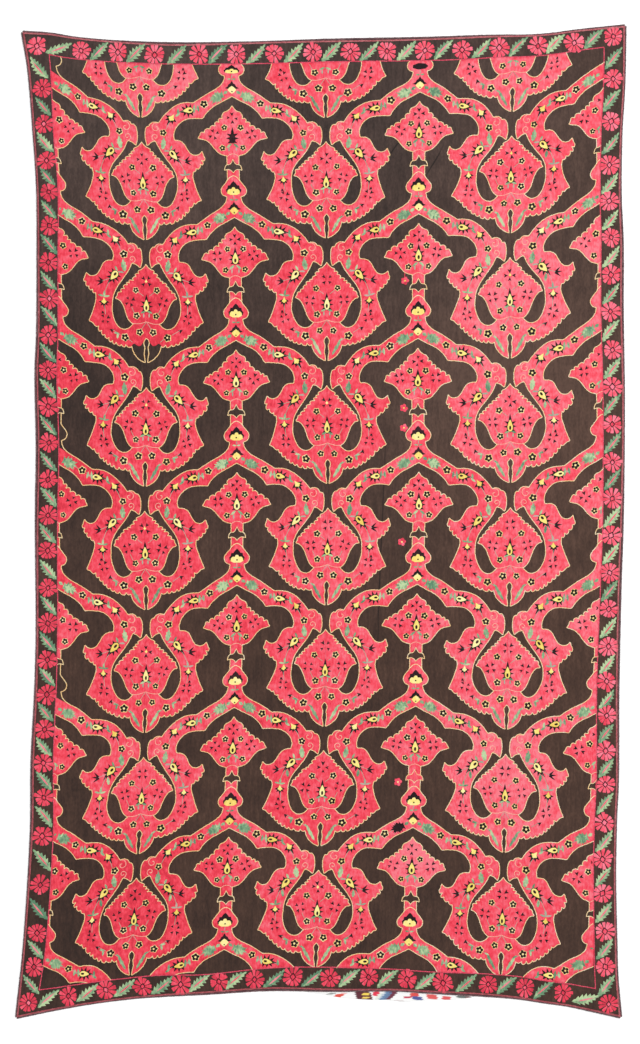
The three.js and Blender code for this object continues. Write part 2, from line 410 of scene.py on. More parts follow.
def fold_line(tree, where, fold):
    """A thin wandering line where the cloth was once folded sharp: 1 on the line, 0 off it. It dents the
    cloth and marks where painted shade goes.
    """
    x, y, long, lean = fold
    turn = (0, 0, -math.radians(lean))
    local = add_node(tree, "ShaderNodeMapping", {"vector_type": "TEXTURE"}, Vector=where,
                     Location=(x * MM, y * MM, 0), Rotation=turn).outputs[0]
    parts = add_node(tree, "ShaderNodeSeparateXYZ", {}, Vector=local)
    wander = times(tree, minus(tree, noise(tree, where, 60.0, detail=2.0), 0.5), FOLD_WANDER * MM)
    off = combine(tree, "ABSOLUTE", plus(tree, parts.outputs["X"], wander), 0.0)
    near = larger(tree, minus(tree, 1.0, combine(tree, "DIVIDE", off, FOLD_WIDTH * MM)), 0.0)
    along = combine(tree, "DIVIDE", parts.outputs["Y"], long / 2 * MM)
    fade = larger(tree, minus(tree, 1.0, times(tree, along, along)), 0.0)
    return times(tree, near, fade)


def mixed(tree, share, first, second):
    """A colour between two."""
    return add_node(tree, "ShaderNodeMix", {"data_type": "RGBA"}, i0=share, i6=first, i7=second).outputs[2]


# %% Its colour and weave
WARM_BROWNS = [(33, 22, 17), (52, 34, 27), (71, 49, 39), (91, 65, 53)]
COOL_BROWNS = [(33, 25, 22), (51, 39, 35), (70, 55, 50), (90, 72, 65)]
# painted shade: the near-black brown painted along the fold lines
FOLD_PAINTED_SHADE = (20, 12, 10)
# how much streaks, clouds, grain and patches of painted light and shade each tell, and how far all is kept
# down
STREAK_SHARE = 0.6
CLOUD_SHARE = 0.5
GRAIN_SHARE = 0.5
PAINTED_LIGHTING_SHARE = 0.105
KEPT_DARK = 0.3


def ground_colour(tree, where, folded):
    """Brown-black in faint streaks, cooler towards the head and the left, with patches of painted light and
    shade, and darkest in the painted shade on the folds.
    """
    streaks = noise(tree, stretched(tree, where, 0.16), 7.0, detail=6.0)
    cloudy = noise(tree, where, 60.0, detail=7.0)
    grain = noise(tree, stretched(tree, where, 0.5), 4.0, detail=2.0)
    # painted light and painted shade: paler and deeper patches kept on the points
    painted_lighting = times(tree, on_points(tree, "tone", "Fac"), PAINTED_LIGHTING_SHARE)
    place = plus(tree, times(tree, streaks, STREAK_SHARE), times(tree, cloudy, CLOUD_SHARE),
                 times(tree, grain, GRAIN_SHARE))
    place = plus(tree, minus(tree, place, KEPT_DARK), painted_lighting)
    parts = add_node(tree, "ShaderNodeSeparateXYZ", {}, Vector=where)
    headwards = add_node(tree, "ShaderNodeMapRange", {}, i0=parts.outputs["Y"], i1=-0.3, i2=1.0).outputs[0]
    leftwards = add_node(tree, "ShaderNodeMapRange", {}, i0=parts.outputs["X"], i1=0.8, i2=0.1, i3=0.4,
                         i4=1.0).outputs[0]
    cool_share = times(tree, headwards, leftwards)
    warm = tone_ramp(tree, place, WARM_BROWNS)
    colour = mixed(tree, cool_share, warm, tone_ramp(tree, place, COOL_BROWNS))
    # painted shade: the fold lines are darkened towards the near-black brown
    return mixed(tree, times(tree, folded, 0.95), colour, dye(*FOLD_PAINTED_SHADE))


def ground_cotton():
    """Brown-black cotton with old folds, dented and darkened with painted shade, faint creases along its
    length and a plain weave.
    """
    material, tree, shader = new_material("ground_cotton", roughness=0.82, sheen=0.12, lustre=0.2)
    where = object_place(tree)
    folded = fold_line(tree, where, FOLDS[0])
    for another in FOLDS[1:]:
        folded = larger(tree, folded, fold_line(tree, where, another))
    tree.links.new(ground_colour(tree, where, folded), shader.inputs["Base Color"])
    creases = noise(tree, stretched(tree, where, 0.25), 22.0, detail=2.0)
    relief = minus(tree, plus(tree, times(tree, woven(tree, where, 1.0), 0.12), creases), folded)
    roughen(tree, shader, relief, strength=0.6, depth=1.2)
    return material


ground = ground_cotton()
print("silks and cotton ready:", len(bpy.data.materials))

# %% [markdown]
# ## The ground cloth
# The face is one even sheet. A grid follows the four edges, so its rows bow as the cloth does, and eleven
# millimetres between lines is fine enough for the narrowest ridge.

# %% The ground cloth replaces its solid
GROUND_STEP = 11


def edge_grid(step):
    """Plan points of the whole cloth, rows from foot to head."""
    across = np.linspace(-1, 1, round(2 * HALF_WIDTH / step) + 1)
    up = np.linspace(-1, 1, round(2 * HALF_LENGTH / step) + 1)
    grid_across, grid_up = np.meshgrid(across, up)
    return face_point(grid_across, grid_up)


# painted light and shade on the ground: middle x and y, reach, tone: one step of tone is about a tenth paler
# or deeper
PAINTED_LIGHTING_SPOTS = [(-430, 1060, 330, 1.7), (514, 1080, 260, 1.4), (-430, 770, 260, 1.0), (470, 330, 300, 1.7),
         (-300, -150, 330, 1.3), (-190, -780, 220, 0.9), (-600, -1060, 200, -1.2), (-560, 420, 260, -0.9),
         (560, -150, 300, 0.5), (500, 760, 220, 0.6), (-560, -460, 200, 0.4), (560, 300, 420, 1.5),
         (560, -500, 420, 1.2), (560, -1000, 300, 0.9), (260, 330, 300, 0.7), (560, 900, 300, 0.8),
         (-480, 250, 260, -0.5), (-400, -350, 260, -0.5)]


def spotted(spots, x, y):
    """The sum of soft round spots, given as middle x and y, reach and strength."""
    total = np.zeros_like(x)
    for spot_x, spot_y, reach, strength in spots:
        total += strength * np.exp(-((x - spot_x) ** 2 + (y - spot_y) ** 2) / reach**2)
    return total


plan = edge_grid(GROUND_STEP)
ground_points, ground_triangles = grid_solid(plan, bed, lie)
# painted light and painted shade on the ground, from soft paler and deeper patches
ground_painted_lighting = spotted(PAINTED_LIGHTING_SPOTS, ground_points[:, 0], ground_points[:, 1])
ground_cloth = make_mesh("ground_cloth", ground_points, ground_triangles, ground, ground_painted_lighting)
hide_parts("face")

# %% [markdown]
# ## Lines along the edges
# The border's lines follow the edge at an uneven distance, with small wanders. The sides are walked
# anticlockwise in even steps, and each point is moved to its left, into the cloth.


# %% Walking the four sides
def side_points(side, t):
    """Points of one side's edge, walked anticlockwise, with t from -1 to 1."""
    ones = np.ones_like(t)
    walks = {"foot": (t, -ones), "right": (ones, t), "head": (-t, ones), "left": (-ones, -t)}
    return face_point(*walks[side])


def directions(path):
    """The way ahead and the way to the left at each point of a walk, both one long."""
    ahead = np.gradient(path, axis=0)
    ahead /= np.linalg.norm(ahead, axis=1)[:, None]
    return ahead, np.column_stack([-ahead[:, 1], ahead[:, 0]])


SIDES = ("foot", "right", "head", "left")
WALK_STEPS = 1000
OUTLINE_STRIDE = 12
BRAID_REACH = 4.3
# how far inside the border line the small motifs stop
STITCH_MARGIN = 2.5

# %% The border line, and lines that follow the edge
# place along the walk from -1 to 1, border width
BORDER_WIDTH = {
    "foot": [(-1, 66), (-0.86, 57), (-0.65, 54), (-0.52, 55), (-0.38, 51), (0, 62), (0.3, 55), (0.57, 58),
             (0.8, 57), (0.9, 60), (1, 68)],
    "right": [(-1, 62), (-0.9, 59), (-0.65, 57), (-0.3, 57), (-0.1, 53), (0.23, 55), (0.5, 58), (0.7, 54),
              (1, 56)],
    "head": [(-1, 51), (-0.6, 57), (-0.45, 60), (0, 58), (0.5, 55), (1, 56)],
    "left": [(-1, 63), (-0.8, 53), (-0.68, 55), (-0.5, 54), (-0.14, 58), (0.1, 56), (0.31, 55), (0.6, 59),
             (0.85, 58), (0.95, 52), (1, 51)],
}


def inset_line(side, inset):
    """A side's line moved in from the outside of the braid, by an even inset or a table of them."""
    t = np.linspace(-1, 1, WALK_STEPS)
    edge = side_points(side, t)
    depth = read_table(inset, t) if isinstance(inset, list) else inset
    return edge + directions(edge)[1] * np.reshape(depth - BRAID_REACH, (-1, 1))


def inset_ring(insets):
    """The four sides' lines from a table of insets for each, cut where each meets the next."""
    lines = [inset_line(side, insets[side]) for side in SIDES]
    near = WALK_STEPS // 8
    for number in range(4):
        this = lines[number]
        after = lines[(number + 1) % 4]
        gaps = np.linalg.norm(this[-near:, None] - after[None, :near], axis=2)
        end, start = np.unravel_index(gaps.argmin(), gaps.shape)
        lines[number] = this[:len(this) - near + end + 1]
        lines[(number + 1) % 4] = after[start:]
    return lines


def closed_outline(sides):
    """One closed outline of fewer points from the four sides' lines."""
    return np.vstack([line[:-1:OUTLINE_STRIDE] for line in sides])


further_in = {side: [(t, width + STITCH_MARGIN) for t, width in rows] for side, rows in BORDER_WIDTH.items()}
field_sides = inset_ring(BORDER_WIDTH)
field_outline = closed_outline(field_sides)
stitch_limit = closed_outline(inset_ring(further_in))
print("field outline points:", len(field_outline))

# %% [markdown]
# ## Where the lattice falls
# The maker drew the repeat by eye, so its rows and columns wander. A place on the lattice is given as a
# column, counted in half repeats from the left, and a row. Two short tables say where the seven columns'
# axes stand and how high the fruits' tips reach in every row, and a smooth surface through them turns any
# place on the lattice into a place on the cloth.

# %% From the lattice to the cloth
MOTIF_HALF = 230
ROW_PITCH = 309.0
ROWS = range(9)
FRUIT_COLUMNS = (1, 3, 5)
STEM_COLUMNS = (0, 2, 4, 6)
# how far the maker's hand wanders, and over what lengths: x along y and x, then y along x and y
WANDER = 1.9
WANDER_LENGTHS = (23, 31, 21, 37)
ABOUT_A_TURN = 6.28

# for each row, x of the seven axes from left to right: fruit on columns 1, 3 and 5, stems on the others
AXES = {-1: (-688, -462, -228, 8, 256, 490, 719), 0: (-686, -460, -226, 10, 253, 486, 719),
        1: (-677, -451, -222, 13, 247, 480, 709), 2: (-668, -440, -215, 15, 246, 476, 713),
        3: (-667, -439, -213, 15, 244, 476, 709), 4: (-673, -443, -211, 18, 247, 477, 714),
        5: (-669, -439, -212, 12, 240, 472, 705), 6: (-676, -446, -222, 7, 237, 465, 696),
        7: (-691, -464, -236, -6, 228, 459, 692), 8: (-711, -483, -248, -15, 217, 450, 682),
        9: (-730, -500, -262, -24, 206, 441, 672)}
# for each row, y of the fruits' tips on the same axes
TIPS = {-1: (1596, 1572, 1566, 1562, 1578, 1582, 1610), 0: (1288, 1262, 1258, 1255, 1270, 1275, 1302),
        1: (976, 953, 955, 954, 966, 968, 1001), 2: (658, 645, 649, 650, 657, 662, 688),
        3: (345, 335, 339, 340, 342, 345, 359), 4: (33, 24, 31, 32, 32, 33, 44),
        5: (-286, -286, -276, -273, -273, -278, -281), 6: (-602, -595, -583, -578, -580, -587, -599),
        7: (-919, -899, -885, -879, -885, -897, -922), 8: (-1234, -1205, -1193, -1185, -1191, -1209, -1238),
        9: (-1543, -1514, -1502, -1494, -1500, -1518, -1547)}


def lattice_to_cloth(column, row):
    """Places on the cloth of places on the lattice, on a smooth surface through the two tables."""
    column, row = np.broadcast_arrays(np.asarray(column, float), row)
    before = np.clip(np.floor(column), 0, 5).astype(int)
    t = column - before
    each = np.arange(len(column))
    place = []
    for table in (AXES, TIPS):
        axes = np.array([read_table(list(zip(table, axis)), row) for axis in zip(*table.values())])
        slope = np.gradient(axes, axis=0)
        start, end = axes[before, each], axes[before + 1, each]
        leave, arrive = slope[before, each], slope[before + 1, each]
        place.append(start + (end - start) * t * t * (3 - 2 * t)
                     + leave * t * (1 - t) ** 2 + arrive * t * t * (t - 1))
    return np.column_stack(place)


# %% Half a repeat in its place
class Cell:
    """Half a repeat: from a fruit's axis out to the next stem's axis, on one side of it."""

    def __init__(self, column, side, row):
        self.name = (column, side, row)
        self.column = column
        self.side = side
        self.row = row
        self.phase = np.random.default_rng([column, side + 1, row + 1]).uniform(0, ABOUT_A_TURN, 4)

    def place(self, points):
        """Places on the cloth of points given in the motif's own sizes, with the maker's small wander."""
        x, y = np.asarray(points, float).T
        waves = [along / length for along, length in zip((y, x, x, y), WANDER_LENGTHS)]
        first, second, third, fourth = [wave + phase for wave, phase in zip(waves, self.phase)]
        reach = WANDER * np.sin(np.pi * np.clip(x / MOTIF_HALF, 0, 1))
        drawn_x = x + reach * np.sin(first) * np.cos(second)
        drawn_y = y + reach * np.sin(third) * np.cos(fourth)
        column = self.column + self.side * drawn_x / MOTIF_HALF
        return lattice_to_cloth(column, self.row - drawn_y / ROW_PITCH)


cells = [Cell(column, side, row) for row in ROWS for column in FRUIT_COLUMNS for side in (-1, 1)]
cell_named = {cell.name: cell for cell in cells}
print("half repeats:", len(cells))

# %% [markdown]
# ## The motif's outline
# One half of the motif is drawn as a walk round it with the ground always on the left hand: down the
# fruit, up the inside of the cup, round the scroll, out along the branch, up the knot to the star, back
# under the branch, round the wing, down the arm and along the leafy underside to the split beak. The stem's
# top flower is a second walk. Smooth stretches are curves through a few points. Leafy edges are lobes raised
# on such a curve, and four drawings with their lobes cut afresh keep neighbours from being alike.


# %% Curves and leafy edges
def smooth_path(points, step=4.0):
    """An even walk on a curve through points."""
    knots = np.array(points, float)
    if len(knots) == 2:
        count = max(2, round(np.linalg.norm(knots[1] - knots[0]) / step))
        return knots[0] + (knots[1] - knots[0]) * np.linspace(0, 1, count + 1)[:, None]
    padded = np.vstack([2 * knots[0] - knots[1], knots, 2 * knots[-1] - knots[-2]])
    walked = []
    for p0, p1, p2, p3 in zip(padded[:-3], padded[1:-2], padded[2:-1], padded[3:]):
        count = max(2, round(np.linalg.norm(p2 - p1) / step))
        t = np.linspace(0, 1, count, endpoint=False)[:, None]
        bend = (2 * p0 - 5 * p1 + 4 * p2 - p3) * t**2 + (3 * p1 - 3 * p2 + p3 - p0) * t**3
        walked.append(p1 + 0.5 * ((p2 - p0) * t + bend))
    walked.append(knots[-1:])
    return np.vstack(walked)


def points_at(path, shares):
    """Points of a walk at shares of its length, from 0 to 1."""
    run = np.concatenate([[0], np.cumsum(np.linalg.norm(np.diff(path, axis=0), axis=1))])
    at = shares * run[-1]
    return np.column_stack([np.interp(at, run, path[:, 0]), np.interp(at, run, path[:, 1])])


def resample(path, count):
    """The same walk in a number of even steps."""
    return points_at(path, np.linspace(0, 1, count + 1))


# %% Leafy edges, and stretches joined into one walk
# height of a lobe in six steps from one notch to the next, and how uneven the lobes' widths and depths are
LOBE = np.array([-0.75, 0.35, 0.8, 1.0, 1.0, 0.85])
LOBE_WIDTHS = (0.7, 1.3)
LOBE_DEPTHS = (0.7, 1.2)


def leafy_edge(points, lobes, depth, random, hook=0.25):
    """Uneven lobes with sharp notches on the left of a curve. hook leans each lobe forward."""
    steps = len(LOBE)
    widths = random.uniform(*LOBE_WIDTHS, lobes)
    notches = np.concatenate([[0], np.cumsum(widths)]) / widths.sum()
    shares = np.interp(np.arange(lobes * steps + 1) / steps, np.arange(lobes + 1), notches)
    base = points_at(smooth_path(points, 2.0), shares)
    ahead, left = directions(base)
    depths = depth * random.uniform(*LOBE_DEPTHS, lobes + 1).repeat(steps)[:len(base)]
    high = depths * np.resize(LOBE, len(base))
    high[[0, -1]] = 0
    return base + left * high[:, None] + ahead * (hook * high)[:, None]


def stretches(*runs):
    """Runs of points as curves. A leafy edge, which is a curve already, stays as it is."""
    return [run if isinstance(run, np.ndarray) else smooth_path(run) for run in runs]


def joined(parts):
    """Stretches end to end as one walk, with no doubled points."""
    walk = [parts[0]]
    for stretch in parts[1:]:
        doubled = np.allclose(stretch[0], walk[-1][-1])
        walk.append(stretch[1:] if doubled else stretch)
    return np.vstack(walk)


# %% Half of the motif, from the fruit to the stem
def draw_half(seed):
    """The outlines of one half. A new seed cuts its leafy edges afresh."""
    random = np.random.default_rng(seed)
    fruit = stretches(
        [(0, 2), (5, -5), (12, -11)],
        leafy_edge([(12, -11), (23, -23), (33, -36), (49, -49), (60, -62), (74, -77)], 8, 3.7, random),
        [(74, -77), (80, -86)],
        [(80, -86), (69, -90), (60, -102), (54, -117), (49, -131), (42, -142), (33, -149)])
    cup = stretches(
        [(33, -149), (45, -160), (58, -162), (71, -155), (81, -139), (87, -118), (87, -98), (84, -78),
         (74, -57), (60, -38), (45, -16), (35, 5)],
        [(35, 5), (25, 2), (14, -7)],
        [(14, -7), (10, 10), (10, 28)],
        leafy_edge([(10, 28), (18, 42), (30, 50), (45, 51)], 2, 3.0, random),
        [(45, 51), (57, 68), (76, 86), (96, 97), (115, 101), (134, 101)])
    branch = stretches(
        [(134, 101), (152, 114), (170, 126), (190, 137), (203, 147), (210, 157), (213, 170)],
        [(213, 170), (204, 173), (199, 181), (199, 190), (206, 200), (215, 211)],
        [(215, 211), (215, 239)])
    star_under = stretches([(215, 239), (222, 238), (226, 235), (230, 230)])
    wing = stretches(
        [(230, 117), (208, 105), (185, 93), (167, 77), (156, 61)],
        [(156, 61), (140, 62), (115, 60), (99, 52), (87, 38), (82, 22), (84, 8)],
        [(84, 8), (98, 7), (109, 0), (118, -16), (127, -28), (139, -32), (148, -29), (153, -23)],
        [(153, -23), (156, -33)],
        leafy_edge([(156, -33), (154, -46), (145, -60), (128, -73)], 4, 4.2, random),
        [(128, -73), (126, -88), (131, -107), (138, -126), (148, -147)],
        [(148, -147), (139, -150)],
        leafy_edge([(139, -150), (128, -156), (115, -170), (99, -185), (80, -197), (60, -203), (38, -203)],
                   9, 4.0, random))
    beak = stretches(
        [(38, -203), (36, -213), (30, -225), (18, -237), (3, -245)],
        [(3, -245), (4, -233), (6, -222), (4.5, -211), (4, -206), (6.5, -199), (6.5, -191), (0, -183)])
    # where a knot or a beak was left bare, the silk stops short of it
    shoulder = stretches([(134, 101), (152, 114), (170, 126), (190, 137), (210, 148), (230, 159)])
    blunt = stretches([(38, -203), (32, -197), (24, -202), (16, -203), (10, -196), (6, -191), (0, -183)])
    # the flower at the top of the stem, round to its tip
    star_over = stretches([(230, 265), (227, 259), (224.5, 254), (221, 251.5), (215, 251)])
    crown = stretches(
        [(215, 251), (215, 274)],
        [(215, 274), (207, 276), (196, 281), (185, 293), (175, 306), (165, 314), (155, 317), (144, 320)],
        [(144, 320), (149, 328)],
        leafy_edge([(149, 328), (158, 335), (170, 343), (186, 353), (201, 368), (216, 387)], 6, 4.0, random,
                   hook=-0.2),
        [(216, 387), (224, 393), (230, 402)])
    outer = joined(fruit)
    lower = joined(wing + beak)
    return {"lines": [outer, joined(cup + branch), lower, joined(crown)],
            "plain": [outer, joined(cup + shoulder), lower],
            "body": joined(fruit + cup + branch + star_under + wing + beak),
            "no_knot": joined(fruit + cup + shoulder + wing + beak),
            "no_beak": joined(fruit + cup + branch + star_under + wing + blunt),
            "crown": joined(star_over + crown)}


halves = [draw_half(seed) for seed in (40, 41, 42, 43)]


def half_of(cell):
    """Which drawing of the half a cell got."""
    return halves[(3 * cell.row + cell.column + cell.side) % len(halves)]


# %% Stars, bare places and lighter lines
STEM_AXIS = MOTIF_HALF
# half of the star in each stem, right of its middle: over the tip at its side, and under it
STAR_SIDES = [[(0, 22), (3, 16), (5.5, 11), (9, 8.5), (15, 8), (19.5, 4), (22, -6)],
              [(22, -6), (18, -5), (14, -4), (8, -5), (3.5, -8.5), (0, -13)]]
STAR_HEIGHT = 243
STAR_HALF = joined([smooth_path(run, 2.0) for run in STAR_SIDES]) * (-1, 1) + (STEM_AXIS, STAR_HEIGHT)
for half in halves:
    half["star"] = STAR_HALF

# halves by fruit column, side and row: one star was filled, three knots at the left border and one beak
# were outlined but never filled, and one knot was left out
FILLED_STAR = [(3, 1, 7), (5, -1, 7)]
LEFT_OUT = (5, 1, 1)
UNFINISHED = {(1, -1, 1): "no_knot", (1, -1, 4): "no_knot", (1, -1, 6): "no_knot", LEFT_OUT: "no_knot",
              (1, -1, 2): "no_beak", (1, 1, 2): "no_beak"}

FRUIT_SEAT = smooth_path([(33, -148), (20, -148), (8, -145), (0, -142)])
KNOT_DOME = smooth_path([(213, 210), (218, 216), (224, 221), (230, 223)])
CROWN_SEAT = smooth_path([(215, 272), (222, 277), (230, 279)])
CURL_POINTS = 18
CURL_END = 0.18


def spiral(start, centre, turns, turning):
    """A curl that winds in from its start to its centre."""
    arm = np.array(start, float) - centre
    turn = np.linspace(0, turns * 2 * math.pi, CURL_POINTS)
    shrink = np.linspace(1, CURL_END, CURL_POINTS)
    angle = math.atan2(arm[1], arm[0]) + turning * turn
    reach = np.linalg.norm(arm) * shrink
    return np.column_stack([centre[0] + reach * np.cos(angle), centre[1] + reach * np.sin(angle)])


LIGHT_LINES = [FRUIT_SEAT, CROWN_SEAT, spiral((45, 51), (39, 39), 1.1, 1), spiral((34, 5), (35, 15), 1.2, -1)]
print("points in each outline:", [len(half["body"]) for half in halves])

# %% [markdown]
# ## Laid silk fills
# The pink is laid silk: long threads tied down by small slanting stitches. Each half of a motif was worked
# in one go from one skein, so the halves differ a little in tone. Each half is cut into triangles inside
# its outline, clipped at the border line, raised half a millimetre, and given a short wall all round.

# %% Cutting shapes into triangles
FILL_STEP = 10.0
FILL_LIFT = 0.5
# of an even triangle with sides of one
TRIANGLE_HEIGHT = 0.866


def inside(outline, points):
    """Which points lie in a closed outline, by counting how often a level line crosses it."""
    x, y = points.T
    ax, ay = outline.T
    bx, by = np.roll(outline, -1, axis=0).T
    hit = np.zeros(len(points), bool)
    for x0, y0, x1, y1 in zip(ax, ay, bx, by):
        if y0 != y1:
            crosses = ((y0 > y) != (y1 > y)) & (x < (x1 - x0) * (y - y0) / (y1 - y0) + x0)
            hit ^= crosses
    return hit


def inner_points(outline, step):
    """A staggered grid of points inside an outline."""
    low = outline.min(0)
    high = outline.max(0)
    xs = np.arange(low[0], high[0], step)
    ys = np.arange(low[1], high[1], step * TRIANGLE_HEIGHT)
    grid_x, grid_y = np.meshgrid(xs, ys)
    grid_x = grid_x + (np.arange(len(ys)) % 2 * step / 2)[:, None]
    points = np.column_stack([grid_x.ravel(), grid_y.ravel()])
    return points[inside(outline, points)]


def area_inside(outline):
    """The area inside an outline, below zero if it runs clockwise."""
    x, y = outline.T
    return np.sum(x * np.roll(y, -1) - np.roll(x, -1) * y) / 2


def anticlockwise(outline):
    """The outline, turned round if it runs clockwise."""
    return outline if area_inside(outline) > 0 else outline[::-1]


def cut_triangles(outline, inner, clip=None):
    """Plan points and triangles inside the outline, and inside the clip outline if there is one."""
    loops = [anticlockwise(loop) for loop in (outline, clip) if loop is not None]
    counts = np.cumsum([0] + [len(loop) for loop in loops])
    faces = [list(range(start, end)) for start, end in zip(counts[:-1], counts[1:])]
    points = np.vstack(loops + [inner])
    found = delaunay_2d_cdt([tuple(p) for p in points.tolist()], [], faces, 1, 1e-3)
    wanted = set(range(len(loops)))
    kept = [face for face, owners in zip(found[2], found[5]) if wanted <= set(owners)]
    if not kept:
        return np.zeros((0, 2)), np.zeros((0, 3), int)
    used, corners = np.unique(np.array(kept), return_inverse=True)
    return np.array([tuple(found[0][i]) for i in used]), corners.reshape(-1, 3)


# %% A raised fill, and a gatherer for each thread colour
def raised_fill(plan_points, triangles, lift):
    """A fill that stands on the cloth: its top, and a wall down to the cloth along its outer edges."""
    top = np.column_stack([plan_points, lie(*plan_points.T) + lift])
    edges = np.vstack([triangles[:, [0, 1]], triangles[:, [1, 2]], triangles[:, [2, 0]]])
    _, first, count = np.unique(np.sort(edges, axis=1), axis=0, return_index=True, return_counts=True)
    rim = edges[first[count == 1]]
    on_rim = np.unique(rim)
    start, end = rim.T
    below = len(top) + np.searchsorted(on_rim, rim)
    walls = np.vstack([np.c_[start, below[:, 0], below[:, 1]], np.c_[start, below[:, 1], end]])
    return np.vstack([top, top[on_rim] - (0, 0, lift)]), np.vstack([triangles, walls])


class Gatherer:
    """Collects the patches of one thread colour, which become one mesh."""

    def __init__(self, name, material):
        self.name = name
        self.material = material
        self.points = []
        self.triangles = []
        self.tones = []
        self.count = 0

    def add(self, points, triangles, tone=0.0):
        """Takes in one patch, with one tone or a tone for each point."""
        if len(triangles) == 0:
            return
        self.points.append(points)
        self.triangles.append(np.asarray(triangles) + self.count)
        self.tones.append(np.broadcast_to(tone, len(points)))
        self.count += len(points)

    def gathered(self):
        """All points, triangles and tones so far."""
        return np.vstack(self.points), np.vstack(self.triangles), np.concatenate(self.tones)

    def make(self, slot):
        """Makes the mesh with the gatherer's material. The slot is not used."""
        points, triangles, tones = self.gathered()
        piece = make_mesh(self.name, points, triangles, self.material, tones)
        return piece


# %% How deep or pale each half is
# middle x and y, reach, tone: below zero is deeper, above zero paler
TONE_SPOTS = [(-640, 560, 230, -0.5), (-430, 520, 150, -0.5), (-640, -1000, 300, -0.4),
              (-440, -900, 170, -0.4), (-560, 0, 420, -0.4), (620, 700, 360, 0.45), (500, 560, 200, 0.35),
              (620, -200, 420, 0.5), (300, 1050, 300, 0.3), (-300, 1100, 260, 0.2), (420, -560, 160, 0.5),
              (237, -840, 80, 0.9), (-60, 600, 140, -0.3), (520, 950, 160, -0.2), (560, -900, 300, 0.3),
              (-300, 1060, 170, 0.35), (-300, 760, 160, 0.22), (350, 1080, 300, 0.12), (70, 760, 200, -0.13),
              (-570, 155, 150, -0.2), (-480, -150, 200, 0.25), (520, -450, 160, -0.18),
              (-20, -1070, 180, -0.34), (-560, 780, 200, 0.2), (40, 780, 160, -0.1)]
SKEIN_SHARE = 0.4


def skein_tone(cell):
    """The tone of a half's skein, which changes from motif to motif and a little from side to side."""
    by_motif = 0.5 * np.sin(2.1 * cell.row + 1.7 * cell.column)
    by_side = 0.14 * cell.side * np.sin(cell.row + 2.6)
    return SKEIN_SHARE * (by_motif + by_side)


# %% Filling the halves
FILLED_PARTS = ("body", "no_knot", "no_beak", "crown", "star")
for half in halves:
    half["inner"] = {part: inner_points(half[part], FILL_STEP) for part in FILLED_PARTS}
skeins = Gatherer("pink_fill", pink_silk)
for cell in cells:
    half = half_of(cell)
    for part in [UNFINISHED.get(cell.name, "body"), "crown"] + ["star"] * (cell.name in FILLED_STAR):
        drawn = cell.place(half[part])
        within = inside(field_outline, drawn)
        if within.any():
            inner = cell.place(half["inner"][part])
            flat, triangles = cut_triangles(drawn, inner, None if within.all() else field_outline)
            skeins.add(flat, triangles, spotted(TONE_SPOTS, flat[:, 0], flat[:, 1]) + skein_tone(cell))

# halves that meet on an axis are sewn into one, by counting points in the same place once
flat, triangles, tones = skeins.gathered()
_, first, same = np.unique(np.round(flat, 2), axis=0, return_index=True, return_inverse=True)
points, triangles = raised_fill(flat[first], same.ravel()[triangles], FILL_LIFT)
tones = np.concatenate([tones[first], np.zeros(len(points) - len(first))])
pink_fill = make_mesh("pink_fill", points, triangles, pink_silk, tones)

# %% [markdown]
# ## Chain stitch
# Every outline is a row of chain stitches: each loop is a small plump teardrop whose tail comes up inside
# the loop before. One loop is modelled once, low at its rim, high on its shoulders and dipped in its
# middle, and copied along each line by arrays, turned to the line and set on the cloth's height.

# %% One loop
# along the stitch and across it for the rim, and its height too for the dip in the middle
LOOP_RIM = [(-0.25, 0.0), (0.1, -0.42), (0.72, -0.5), (1.14, 0.0), (0.72, 0.5), (0.1, 0.42)]
LOOP_DIP = (0.58, 0.0, 0.45)
SHOULDER = 0.6
# each kind of chain stitch: the loops' width, the pitch between them and how high their shoulders rise
OUTLINE_STITCH = (2.6, 3.8, 0.8)
STAR_STITCH = (2.3, 3.4, 0.8)
KNOT_STITCH = (2.2, 4.0, 0.6)
THIN_STITCH = (1.9, 3.8, 0.5)
FIELD_STITCH = (2.9, 4.6, 0.9)
EDGE_STITCH = (1.7, 4.6, 0.5)
BRAID_STITCH = (2.3, 6.4, 0.55)
LOOP_LIFT = 0.1
# how uneven the loops are: their widths, how far they sway by their width, and their tones
LOOP_WIDTHS = (0.88, 1.12)
LOOP_SWAY = 0.06
LOOP_TONES = 0.35


def loop_shape():
    """Points (along, across, height) and triangles of one loop of unit size."""
    rim = np.array(LOOP_RIM)
    dip = np.array(LOOP_DIP[:2])
    shoulder = dip + SHOULDER * (rim - dip)
    count = len(rim)
    low = np.column_stack([rim, np.zeros(count)])
    high = np.column_stack([shoulder, np.ones(count)])
    i = np.arange(count)
    j = (i + 1) % count
    flanks = [np.c_[i, j, count + j], np.c_[i, count + j, count + i]]
    hollow = np.c_[count + i, count + j, np.full(count, 2 * count)]
    return np.vstack([low, high, [LOOP_DIP]]), np.vstack(flanks + [hollow])


LOOP_POINTS, LOOP_TRIANGLES = loop_shape()
print("one loop:", len(LOOP_POINTS), "points and", len(LOOP_TRIANGLES), "triangles")

# %% A row of loops
stitch_random = np.random.default_rng(7)


